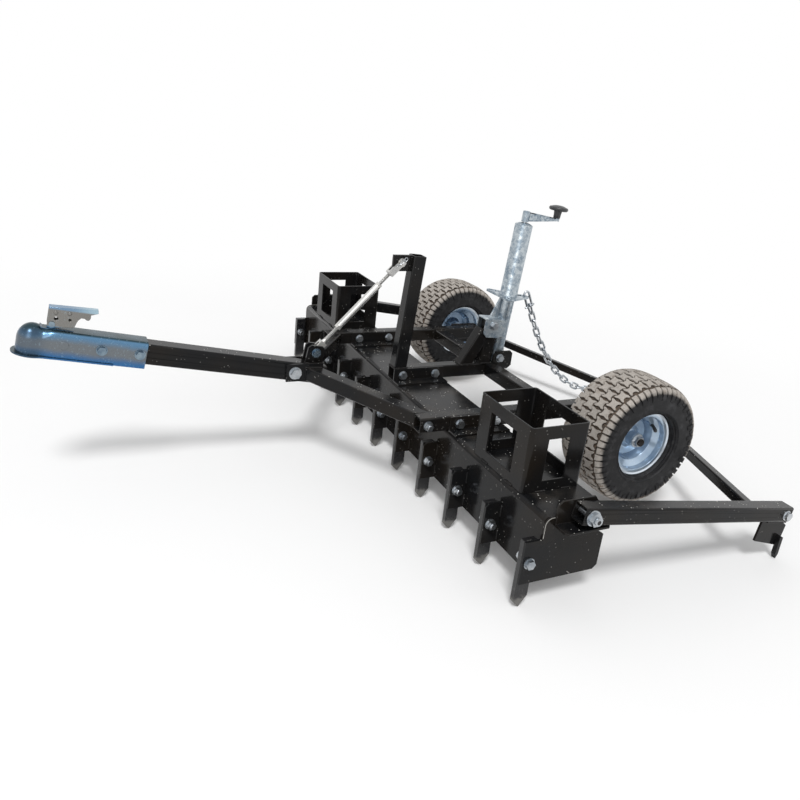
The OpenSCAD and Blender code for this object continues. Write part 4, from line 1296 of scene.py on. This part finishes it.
@dataclass
class CarrierSeams(Seams):
    """Seams of posts, hitch legs, lugs, baskets, crossbeam and axle plates.

    Feet are given by their rear and front end, and beads by where they start and end. Points
    are those of the left side.
    """

    name: str = "frame_welds"
    body: str = "frame"
    bar_half: float = 19.2
    bar_top: float = 38.4
    feet: tuple[Pair, ...] = ((-41.1, -2.9), (-322.8, -284.6), (-257.8, -214.2))
    ears: tuple[Triple, ...] = ((263.4, 32.3, 25), (263.4, 32.3, 63), (218, 32.3, 60))
    rail_side: tuple[tuple[Triple, ...], ...] = (
        ((-302, 311.7, 38.2), (-340, 311.7, 38.2)),
        ((-301.8, 311.7, 4), (-301.8, 311.7, 34)),
        ((-393.5, 350.4, 36), (-393.5, 350.4, 4)),
        ((-488, 360, 37.6), (-394, 360, 37.6)),
    )
    basket_x: float = -79.5
    basket_y: float = 564
    basket_half: Pair = (75.2, 101)
    bead_x: Pair = (-52, 16)
    bead_y: Pair = (-62, 38)
    bead: float = 26
    basket_lift: float = 0.6
    lugs: int = 9
    lug_x: float = 0.3
    lug_y: float = 612.1
    lug_pitch: float = 149.9
    lug_beads: tuple[Pair, ...] = ((-54, -84), (-112, -142))

    def foot(self, x0: float, x1: float) -> list[Vector]:
        """Runs a seam round a tube's foot on the middle bar.

        Args:
            x0: The foot's rear.
            x1: The foot's front.

        Returns:
            The seam's corners.
        """
        half = self.bar_half
        corners = [(x0, half), (x1, half), (x1, -half), (x0, -half), (x0, half)]
        return [at(x, y, self.bar_top) for x, y in corners]

    def basket(self, middle: float) -> list[list[Vector]]:
        """Sets two short beads along each side of a basket's foot.

        Args:
            middle: The basket's y.

        Returns:
            Corners of each bead.
        """
        half_x, half_y = self.basket_half
        ends, up = (0, self.bead), self.basket_lift
        runs = []
        for dx in self.bead_x:
            for dy in (-half_y, half_y):
                runs.append([at(self.basket_x + dx + end, middle + dy, up) for end in ends])
        for dy in self.bead_y:
            for dx in (-half_x, half_x):
                runs.append([at(self.basket_x + dx, middle + dy + end, up) for end in ends])
        return runs

    def runs(self) -> list[list[Vector]]:
        """Lists the seams.

        Returns:
            Corners of each run of weld.
        """
        runs = [self.foot(*ends) for ends in self.feet]
        for side in Side:
            for seam in (self.ears, *self.rail_side):
                runs.append([at(x, side.value * y, z) for x, y, z in seam])
            runs += self.basket(self.basket_y * side.value)
        for i in range(self.lugs):
            y = self.lug_y - i * self.lug_pitch
            runs += [[at(self.lug_x, y, z) for z in bead] for bead in self.lug_beads]
        return runs


@dataclass
class LiftingSeams(Seams):
    """Seams of the V's corner plate and lug, and of the diagonals at the arms."""

    name: str = "lifting_frame_welds"
    body: str = "rake"
    sweep: float = math.radians(22.5)
    corner: float = -852
    arm_in: float = 767.6
    top: float = 12.9
    lug: Pair = (-820, -792)
    lug_half: float = 4.4
    lug_top: float = 17.8
    plate_edge: tuple[Pair, ...] = ((-828, 16), (-808, 64))
    joint: Pair = (-13, 14)
    joint_face: float = -13.8
    joint_rise: Pair = (-10, 11)

    def runs(self) -> list[list[Vector]]:
        """Lists the seams.

        Returns:
            Corners of each run of weld.
        """
        on, top = LIFTING.on, self.top
        runs = [[on(u, y, self.lug_top) for u in self.lug] for y in (-self.lug_half, self.lug_half)]
        u = self.corner + self.arm_in * math.tan(self.sweep)
        for side in Side:
            y = side.value * self.arm_in
            runs.append([on(u + end, y, top) for end in self.joint])
            runs.append([on(u + self.joint_face, y, rise) for rise in self.joint_rise])
            runs.append([on(a, side.value * b, top) for a, b in self.plate_edge])
        return runs


@dataclass
class DrawbarSeams(Seams):
    """Seams of the turnbuckle's ears on the drawbar."""

    name: str = "drawbar_welds"
    body: str = "drawbar"
    pin: Pair = (-60, 47)
    ear_y: float = 15.8
    ear_half: float = 24
    top: float = 25.9

    def runs(self) -> list[list[Vector]]:
        """Lists the seams, which lie evenly about the ears' pin.

        Returns:
            Corners of each run of weld.
        """
        x, z = self.pin
        middle = x * math.cos(DRAWBAR.angle) + z * math.sin(DRAWBAR.angle)
        ends = (middle - self.ear_half, middle + self.ear_half)
        return [[DRAWBAR.on(s, y, self.top) for s in ends] for y in (-self.ear_y, self.ear_y)]


@dataclass
class ScuffedEdges(Seams):
    """Bare scuffed edges along the end plates' round corners."""

    name: str = "scuffed_edges"
    radius: float = 0.0008
    finish: Finish = SCUFF
    face: float = 761.9
    bend: float = 16
    front_low: float = -46
    top_rear: float = -58
    chip: tuple[Pair, ...] = ((-88, -146), (-79, -138))

    def runs(self) -> list[list[Vector]]:
        """Lists the scuffs.

        Returns:
            Corners of each run of bare edge.
        """
        turns = [math.pi / 2 * i / 8 for i in range(9)]
        corner = [(-self.bend * (1 - math.cos(a)), -self.bend * (1 - math.sin(a))) for a in turns]
        edge = [(0, self.front_low), *corner, (self.top_rear, 0)]
        runs = []
        for side in Side:
            for line in (edge, self.chip):
                runs.append([at(x, side.value * self.face, z) for x, z in line])
        return runs


@dataclass
class Wheel:
    """What a wheel carries beside its pressed rim: the tyre and the valve stem.

    The stem's foot and lean are given from the wheel's middle, with y outwards.
    """

    side: Side
    foot: Triple = (-0.052, 0.022, 0.036)
    lean: Triple = (0.35, 0.9, -0.25)
    stem: tuple[Pair, ...] = (
        (0.0, 0.0), (0.0062, 0.0), (0.0062, 0.004), (0.0042, 0.006), (0.0038, 0.018),
    )
    cap: tuple[Pair, ...] = ((0.0046, 0.018), (0.0046, 0.029), (0.0036, 0.031), (0.0, 0.031))

    def valve(self) -> bpy.types.Object:
        """Builds the valve stem with its cap, leaning out of the rim.

        Returns:
            The stem.
        """
        mesh = Mesh()
        y, word = self.side.value, self.side.word
        dx, dy, dz = self.foot
        base = Vector((WHEEL_X + dx, y * (WHEEL_Y + dy), WHEEL_Z + dz))
        axis = Vector((self.lean[0], y * self.lean[1], self.lean[2])).normalized()
        mesh.lathe(self.stem + self.cap, base, axis, 20)
        return mesh.finish(f"valve_stem_{word}", f"wheel_{word}", "tyre_rubber", STEM)

    def build(self) -> list[bpy.types.Object]:
        """Builds the wheel's own pieces."""
        return [TurfTyre(self.side).build(), self.valve()]


@dataclass
class CrankTop:
    """The crank's arm, a channel that tapers from the hub to the knob's eye, and its knob.

    The hub is given by its lower and upper end, and the knob's edge by its radius, height and size.
    """

    foot: Vector = field(default_factory=lambda: at(-345, 0, 55))
    lean: float = math.radians(4.4)
    reach: float = 0.108
    hub: Pair = (0.4045, 0.4345)
    hub_r: float = 0.0105
    bore: float = 0.007
    chamfer: float = 0.001
    half: float = 0.0072
    sheet: float = 0.0024
    eye_r: float = 0.0092
    eye_drop: float = 0.0165
    stem_r: float = 0.0045
    stem: float = 0.026
    knob_low: float = 0.4268
    edge: Triple = (0.0222, 0.0268, 0.0058)
    neck: tuple[Pair, ...] = (
        (0.0052, 0.0), (0.0096, 0.0), (0.0102, 0.0008), (0.0106, 0.012), (0.0122, 0.0205),
    )
    crown: tuple[Pair, ...] = (
        (0.0205, 0.0331), (0.0145, 0.0352), (0.0085, 0.0362), (0.004, 0.0359),
        (0.0, 0.0357), (0.0, 0.028), (0.0052, 0.028),
    )

    def on(self, u: float, y: float, h: float) -> Vector:
        """A point given square to the jack, across it and along it from its foot bolt."""
        c, s = math.cos(self.lean), math.sin(self.lean)
        return self.foot + Vector((u * c - h * s, y, u * s + h * c))

    @property
    def axis(self) -> Vector:
        """The jack's direction."""
        return self.on(0, 0, 1) - self.on(0, 0, 0)

    def arm(self) -> bpy.types.Object:
        """Builds hub, channel, eye and stem in place of the plain crank arm.

        Returns:
            The arm.
        """
        mesh = Mesh()
        low, high = self.hub
        ring = [(self.bore, low), (self.hub_r, low), (self.hub_r, high - self.chamfer)]
        ring += [(self.hub_r - self.chamfer, high), (self.bore, high)]
        mesh.lathe(ring, self.on(0, 0, 0), self.axis, 40)
        top = [(-0.0085, high - 0.002), (-0.05, high - 0.0045), (-0.106, high - 0.0085)]
        bottom = [(-0.106, high - self.eye_drop), (-0.03, low + 0.0045), (-0.0085, low + 0.0025)]
        for y in (self.half - self.sheet, -self.half):
            mesh.prism([self.on(u, y, h) for u, h in top + bottom], Vector((0, self.sheet, 0)))
        web = top + [(u, h - self.sheet) for u, h in reversed(top)]
        mesh.prism([self.on(u, -self.half, h) for u, h in web], Vector((0, 2 * self.half, 0)))
        eye_low, eye_high = high - self.eye_drop, self.knob_low - 0.0006
        stem_high = self.knob_low + self.stem
        eye = [(0.0, eye_low), (self.eye_r, eye_low), (self.eye_r, eye_high)]
        eye += [(self.stem_r, eye_high), (self.stem_r, stem_high), (0.0, stem_high)]
        mesh.lathe(eye, self.on(-self.reach, 0, 0), self.axis, 32)
        piece = mesh.finish("crank_channel", "crank", "galvanised", SPANGLE, 30.0)
        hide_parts("crank_arm")
        return piece

    def knob(self) -> bpy.types.Object:
        """Builds the mushroom knob with its thick round edge in place of the plain one.

        Returns:
            The knob.
        """
        mesh = Mesh()
        edge_r, edge_h, size = self.edge
        turns = [math.radians(-105 + 160 * i / 8) for i in range(9)]
        bead = [(edge_r + size * math.cos(a), edge_h + size * math.sin(a)) for a in turns]
        profile = [(r, self.knob_low + h) for r, h in (*self.neck, *bead, *self.crown)]
        mesh.lathe(profile, self.on(-self.reach, 0, 0), self.axis, 56)
        piece = mesh.finish("mushroom_knob", "knob", "knob_plastic", KNOB, 40.0)
        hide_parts("crank_knob")
        return piece

    def build(self) -> bpy.types.Object:
        """Builds both pieces."""
        self.arm()
        return self.knob()


@dataclass(frozen=True)
class Section:
    """A section of the coupler's pressing, square to the drawbar."""

    place: float
    half: float
    top: float
    bend: Pair
    lip: float = 0.0

    def thinned(self, sheet: float) -> Section:
        """Draws the section in by a sheet's thickness, for its inner side.

        Args:
            sheet: The sheet's thickness.

        Returns:
            The inner side, without a lip.
        """
        wide, high = self.bend
        bend = (wide - sheet, high - sheet)
        return Section(self.place, self.half - sheet, self.top - sheet, bend)

    def wall(self, low: float, lip_t: float) -> list[Pair]:
        """Draws the right half from its foot to the crown.

        Args:
            low: Height of the foot.
            lip_t: Thickness of the lip.

        Returns:
            Points across and up.
        """
        wide, high = self.bend
        points = [(self.half + self.lip, low), (self.half + self.lip, low + lip_t)]
        points.append((self.half, low + lip_t))
        for angle in (math.pi / 2 * i / 10 for i in range(11)):
            across = self.half - wide * (1 - math.cos(angle))
            points.append((across, self.top - high * (1 - math.sin(angle))))
        return points + [(0.0, self.top)]


@dataclass
class PressedCoupler:
    """The coupler's pressing: a channel with a flared lip that swells into the ball's dome.

    The latch pin's block is given by half its length and half its width, and the button by its
    place along the drawbar and the side's distance from the middle.
    """

    low: float = -34
    lip_t: float = 3.5
    sheet: float = 4.8
    block: Pair = (9, 8)
    block_low: float = 26
    button: Pair = (550, 30.5)
    disc: tuple[Pair, ...] = (
        (0.0, -0.0005), (0.01, -0.0005), (0.01, 0.0006), (0.0094, 0.001), (0.0, 0.001),
    )
    rest_half: float = 13
    rest: tuple[Pair, ...] = (
        (534, 29.4), (600, 29.4), (603.5, 33.2), (602.3, 34.2), (598, 31.3), (534, 31.3),
    )
    sections: tuple[Section, ...] = (
        Section(372.2, 30.5, 30.5, (10.8, 10.8)),
        Section(442.2, 30.5, 30.5, (10.8, 10.8)),
        Section(442.5, 30.5, 30.5, (10.8, 10.8), 4.0),
        Section(560.0, 30.5, 30.5, (10.8, 10.8), 4.0),
        Section(576.0, 30.4, 30.4, (12.5, 12.5), 4.5),
        Section(585.0, 29.8, 29.9, (17.0, 17.5), 5.0),
        Section(592.0, 29.2, 29.5, (22.0, 24.0), 5.8),
        Section(598.0, 29.2, 30.4, (26.0, 29.0), 6.6),
        Section(604.0, 30.2, 33.4, (29.2, 32.6), 7.4),
        Section(610.0, 31.0, 35.3, (30.6, 34.8), 8.0),
        Section(615.0, 31.2, 35.8, (30.9, 35.5), 8.3),
    )

    def walls(self, section: Section) -> tuple[list[Pair], list[Pair]]:
        """Draws the outer and the inner side of a section's right half.

        Args:
            section: The section.

        Returns:
            The outer and the inner points.
        """
        inner = section.thinned(self.sheet)
        return section.wall(self.low, self.lip_t), inner.wall(self.low, self.lip_t)

    def channel(self, mesh: Mesh) -> None:
        """Bridges the closed sections from the rear to the ball.

        Args:
            mesh: The coupler's mesh.
        """
        loops = []
        for section in self.sections:
            outer, inner = self.walls(section)
            left = [(-y, t) for y, t in reversed(outer[:-1])] + [(-y, t) for y, t in inner]
            flat = outer + left + list(reversed(inner[:-1]))
            verts = [mesh.bm.verts.new(DRAWBAR.on(section.place, y, t)) for y, t in flat]
            if not loops:
                mesh.bm.faces.new(verts)
            loops.append(mesh.loop(verts))
        for a, b in zip(loops, loops[1:]):
            bmesh.ops.bridge_loops(mesh.bm, edges=a + b)

    def dome(self, mesh: Mesh) -> None:
        """Spins the last section half round the ball to close the front.

        Args:
            mesh: The coupler's mesh.
        """
        ball = self.sections[-1].place
        outer, inner = self.walls(self.sections[-1])
        verts = [mesh.bm.verts.new(DRAWBAR.on(ball, y, t)) for y, t in (*reversed(outer), *inner)]
        edges = [mesh.bm.edges.new(pair) for pair in zip(verts, verts[1:])]
        bmesh.ops.spin(
            mesh.bm,
            geom=verts + edges,
            cent=DRAWBAR.on(ball, 0, 0),
            axis=DRAWBAR.run(0, 0, 1).normalized(),
            angle=-math.pi,
            steps=30,
        )

    def build(self) -> bpy.types.Object:
        """Builds the pressing in place of the plain coupler.

        Returns:
            The coupler.
        """
        mesh = Mesh()
        self.channel(mesh)
        self.dome(mesh)
        s, t = LATCH_PIN
        r, half = self.block
        turns = [math.pi * i / 10 for i in range(11)]
        arc = [(s + r * math.cos(a), t + r * math.sin(a)) for a in turns]
        outline = [(s - r, self.block_low), (s + r, self.block_low), *arc]
        for flat, y in ((outline, half), (self.rest, self.rest_half)):
            across = DRAWBAR.on(0, y, 0) - DRAWBAR.on(0, -y, 0)
            mesh.prism([DRAWBAR.on(a, -y, b) for a, b in flat], across)
        place, y = self.button
        for side in Side:
            center = DRAWBAR.on(place, side.value * y, 0)
            mesh.lathe(self.disc, center, Vector((0, side.value, 0)), 32)
        piece = mesh.finish("pressed_coupler", "drawbar", "blue_zinc", BLUE_ZINC, 32.0)
        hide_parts("coupler")
        return piece


@dataclass
class LatchLever:
    """The coupler's lever: two pressed cheeks under a folded handle, with rivets and lock holes.

    A hole is given by its place and radius, and the taper by its start, length and share.
    """

    nose: float = 10
    cheek: Pair = (9, 12)
    upper: tuple[Pair, ...] = ((590, 80), (489, 86.5))
    lower: tuple[Pair, ...] = (
        (487.5, 78), (503, 72.5), (502.5, 67.5), (504, 61.5), (507, 59.3), (511, 60),
        (515, 63.2), (522.5, 63.5), (528, 57), (530.5, 51), (532, 45), (534, 39), (572.5, 34.9),
    )
    fold: tuple[Pair, ...] = ((487.5, 78), (489.8, 77.6), (491.5, 83.8), (590, 77.4))
    overlap: float = 0.1
    holes: tuple[Triple, ...] = ((573, 55.5, 4.5), (544.6, 55.6, 3.2))
    rivets: tuple[Pair, ...] = ((575, 69), (547, 70.5))
    rivet: tuple[Pair, ...] = (
        (0.0, -0.0004), (0.0046, -0.0004), (0.0046, 0.0005),
        (0.0033, 0.002), (0.0014, 0.0026), (0.0, 0.0026),
    )
    taper: Triple = (515, 28, 0.4)

    def hole(self, place: Triple, y: float) -> list[Vector]:
        """Draws a lock hole's rim.

        Args:
            place: The hole's middle, along and square to the drawbar, and its radius.
            y: The cheek's inner or outer face.

        Returns:
            The rim's corners.
        """
        s, t, r = place
        turns = [math.tau * i / 20 for i in range(20)]
        return [DRAWBAR.on(s + r * math.cos(a), y, t + r * math.sin(a)) for a in turns]

    def narrow(self, mesh: Mesh) -> None:
        """Draws the cheeks together toward the handle's rear end.

        Args:
            mesh: The lever's mesh so far.
        """
        start, length, share = self.taper
        along = DRAWBAR.run(1, 0, 0).normalized()
        for vert in mesh.bm.verts:
            reach = (vert.co - DRAWBAR.on(0, 0, 0)).dot(along) * 1000
            vert.co.y *= 1 - share * max(0.0, start - reach) / length

    def build(self) -> bpy.types.Object:
        """Builds the lever in place of the plain one.

        Returns:
            The lever.
        """
        mesh = Mesh()
        s, t = LATCH_PIN
        turns = [math.radians(-110 + 110 * i / 9) for i in range(10)]
        nose = [(s + self.nose * math.cos(a), t + self.nose * math.sin(a)) for a in turns]
        outline = [*self.upper, *self.lower, *nose]
        inner, outer = self.cheek
        for y in (inner, -outer):
            holes = [self.hole(place, y) for place in self.holes]
            run = DRAWBAR.run(0, outer - inner, 0)
            mesh.prism([DRAWBAR.on(a, y, b) for a, b in outline], run, holes)
        half = inner + self.overlap
        web = [DRAWBAR.on(a, -half, b) for a, b in (*self.upper, *self.fold)]
        mesh.prism(web, DRAWBAR.run(0, 2 * half, 0))
        self.narrow(mesh)
        for side in Side:
            for a, b in self.rivets:
                center = DRAWBAR.on(a, side.value * outer, b)
                mesh.lathe(self.rivet, center, Vector((0, side.value, 0)), 20)
        piece = mesh.finish("pressed_lever", "latch", "blue_zinc", BLUE_ZINC, 30.0)
        Carrier().soften(piece)
        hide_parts("latch_lever")
        return piece


@dataclass
class BoltHollowShade:
    """Painted shade: dark discs on the outer ends of the lifting frame's pivot bolts, for the shade
    in their hollows.
    """

    place: Triple = (-75, 825.4, 17)
    radius: float = 0.0047
    rise: float = 0.0004

    def build(self) -> bpy.types.Object:
        """Builds both painted shade discs as one piece.

        Returns:
            The piece.
        """
        mesh = Mesh()
        x, y, z = self.place
        profile = [(0.0, 0.0), (self.radius, 0.0), (self.radius, self.rise), (0.0, self.rise)]
        for side in Side:
            mesh.lathe(profile, at(x, side.value * y, z), Vector((0, side.value, 0)), 24)
        return mesh.finish("bolt_hollows", "frame", "zinc", HOLLOW_SHADE)


@dataclass
class HairpinClip:
    """Hairpin clip that keeps the turnbuckle's upper pin in its fork."""

    pin: Triple = (3.0, 14.9, 338.0)
    wire_r: float = 1.2
    turn: float = math.radians(-32)
    straight: tuple[Pair, ...] = ((21.0, 0.0), (10.0, 0.0), (0.0, 0.0), (-12.0, 0.0))
    loop_x: float = -12.5
    loop_r: float = 4.6
    wave_r: float = 7.6
    tail: tuple[Pair, ...] = ((9.5, 3.6), (14.0, 4.2), (20.0, 8.0))
    lift: float = 2.6

    def line(self) -> list[Pair]:
        """Draws the wire's middle line: a straight leg, a loop and a waved leg over the pin.

        Returns:
            Its points, flat and seen from the pin.
        """
        points = list(self.straight)
        for i in range(1, 12):
            angle = -math.pi / 2 - math.tau * 0.86 * i / 11
            x = self.loop_x + self.loop_r * math.cos(angle)
            points.append((x, self.loop_r + self.loop_r * math.sin(angle)))
        for i in range(7):
            angle = math.radians(142 - 104 * i / 6)
            points.append((self.wave_r * math.cos(angle), self.wave_r * math.sin(angle)))
        return points + list(self.tail)

    def build(self) -> bpy.types.Object:
        """Builds the clip on the turnbuckle's fork.

        Returns:
            The clip.
        """
        mesh = Mesh()
        x0, y0, z0 = self.pin
        c, s = math.cos(self.turn), math.sin(self.turn)
        flat = self.line()
        first = len(self.straight)
        points = []
        for i, (p, q) in enumerate(flat):
            lift = self.lift * max(0, i - first + 1) / (len(flat) - first)
            points.append(at(x0 + p * c - q * s, y0 + lift, z0 + p * s + q * c))
        mesh.tube(points, [self.wire_r / 1000] * len(points), 8)
        return mesh.finish("hairpin_clip", "turnbuckle_head", "zinc", ZINC, 60.0)


@dataclass
class Carrier:
    """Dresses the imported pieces: a finish for each, with softened edges on plate and tube."""

    edge: float = 0.0007
    segments: int = 2
    sharp: float = math.radians(32)
    weld_gap: float = 0.00001
    finishes: dict[str, Finish] = field(
        default_factory=lambda: {
            "black_paint": BLACK,
            "bare_steel": STEEL,
            "zinc": ZINC,
            "blue_zinc": BLUE_ZINC,
            "galvanised": SPANGLE,
            "tyre_rubber": TYRE,
            "rim_paint": RIM,
            "knob_plastic": KNOB,
        }
    )
    special: dict[str, Finish] = field(
        default_factory=lambda: {
            "teeth": TOOTH,
            "turnbuckle_sleeve": TURNED,
            "drawbar_bolts": BLUE_BOLT,
            "turnbuckle_lower": ROD,
            "turnbuckle_upper": ROD,
        }
    )
    keep_sharp: tuple[str, ...] = (
        "lift_chain", "crank_knob", "rim_left", "rim_right", "tyre_left", "tyre_right",
    )

    def dress(self, frame: dict) -> None:
        """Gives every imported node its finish.

        Args:
            frame: The loaded model.
        """
        slots = {part["node"]: part["material_slot"] for part in frame["record"]["subparts"]}
        for name, node in frame["nodes"].items():
            finish = self.special.get(name, self.finishes[slots[name]])
            for slot in node.material_slots:
                slot.material = finish.material()
            if name not in self.keep_sharp:
                self.soften(node)
            LOG.info("%s: %s", name, finish.name)

    def soften(self, node: bpy.types.Object) -> None:
        """Welds the node's loose triangles and breaks its sharp edges.

        Args:
            node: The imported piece.
        """
        weld = node.modifiers.new("weld", "WELD")
        weld.merge_threshold = self.weld_gap
        bevel = node.modifiers.new("edges", "BEVEL")
        bevel.width = self.edge
        bevel.segments = self.segments
        bevel.limit_method = "ANGLE"
        bevel.angle_limit = self.sharp
        bevel.harden_normals = False
        bevel.use_clamp_overlap = True


class LampKind(Enum):
    """The kinds of lamp on the stage, by Blender's names."""

    SUN = "SUN"
    AREA = "AREA"


@dataclass(frozen=True)
class Lamp:
    """A lamp: where it stands seen from the machine's middle, its strength, and its spread.

    The spread is a sun's angle in degrees, or an area lamp's side in metres.
    """

    name: str
    kind: LampKind
    toward: Triple
    strength: float
    spread: float

    def shine(self, middle: Vector) -> None:
        """Sets the lamp up.

        Args:
            middle: The point that it shines on.
        """
        data = bpy.data.lights.new(self.name, self.kind.value)
        data.energy = self.strength
        if self.kind is LampKind.SUN:
            data.angle = math.radians(self.spread)
        else:
            data.size = self.spread
        toward = Vector(self.toward)
        lamp = bpy.data.objects.new(self.name, data)
        lamp.location = middle + toward
        lamp.rotation_euler = toward.to_track_quat("Z", "Y").to_euler()
        bpy.context.scene.collection.objects.link(lamp)


@dataclass
class Stage:
    """Floor, light and camera."""

    camera_at: Triple = (0.835119, 1.722237, 0.935266)
    camera_turn: tuple[float, ...] = (0.15042156, 0.16769442, 0.54905133, 0.80485686)
    lens: float = 32.411
    sensor: float = 36.0
    shift: Pair = (-0.00893, -0.03732)
    farthest: float = 60.0
    floor_half: float = 14.0
    ambient: float = 0.6
    middle: Vector = field(default_factory=lambda: Vector((-0.1, 0.0, 0.2)))
    lamps: tuple[Lamp, ...] = (
        Lamp("key", LampKind.SUN, (0.6, 1.1, 2.1), 1.7, 16.0),
        Lamp("side", LampKind.AREA, (2.2, 2.6, 1.5), 18.0, 1.6),
    )

    def floor(self) -> None:
        """A wide flat floor under the part."""
        bm = bmesh.new()
        bmesh.ops.create_grid(bm, x_segments=1, y_segments=1, size=self.floor_half)
        data = bpy.data.meshes.new("floor")
        bm.to_mesh(data)
        bm.free()
        floor = bpy.data.objects.new("floor", data)
        bpy.context.scene.collection.objects.link(floor)
        data.materials.append(FLOOR.material())

    def world(self) -> None:
        """A plain world: white where the picture or a reflection shows it, dimmer as a light."""
        world = bpy.data.worlds.new("studio")
        bpy.context.scene.world = world
        world.use_nodes = True
        graph = Graph(world.node_tree)
        strength = graph.background * (1 - self.ambient) + self.ambient
        graph.set(Color=(1.0, 1.0, 1.0), Strength=strength)

    def camera(self) -> None:
        """The camera at the photograph's place."""
        data = bpy.data.cameras.new("camera")
        data.sensor_width = self.sensor
        data.sensor_fit = "HORIZONTAL"
        data.lens = self.lens
        data.shift_x, data.shift_y = self.shift
        data.clip_end = self.farthest
        camera = bpy.data.objects.new("camera", data)
        camera.location = self.camera_at
        camera.rotation_mode = "QUATERNION"
        camera.rotation_quaternion = Quaternion(self.camera_turn)
        bpy.context.scene.collection.objects.link(camera)
        bpy.context.scene.camera = camera

    def build(self) -> None:
        """Sets the whole stage."""
        bpy.context.scene.view_settings.view_transform = "Standard"
        self.camera()
        self.floor()
        self.world()
        for lamp in self.lamps:
            lamp.shine(self.middle)


def main() -> None:
    """Builds every piece in order and reports it."""
    logging.basicConfig(level=logging.INFO, format="%(message)s")
    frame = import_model()
    Stage().build()
    Carrier().dress(frame)
    for side in Side:
        for piece in Wheel(side).build():
            LOG.info("made %s", piece.name)
    seams = (CarrierSeams(), LiftingSeams(), DrawbarSeams(), ScuffedEdges())
    for trim in (*seams, PressedCoupler(), LatchLever(), CrankTop(), BoltHollowShade(), HairpinClip()):
        LOG.info("made %s", trim.build().name)


if __name__ == "__main__":
    main()
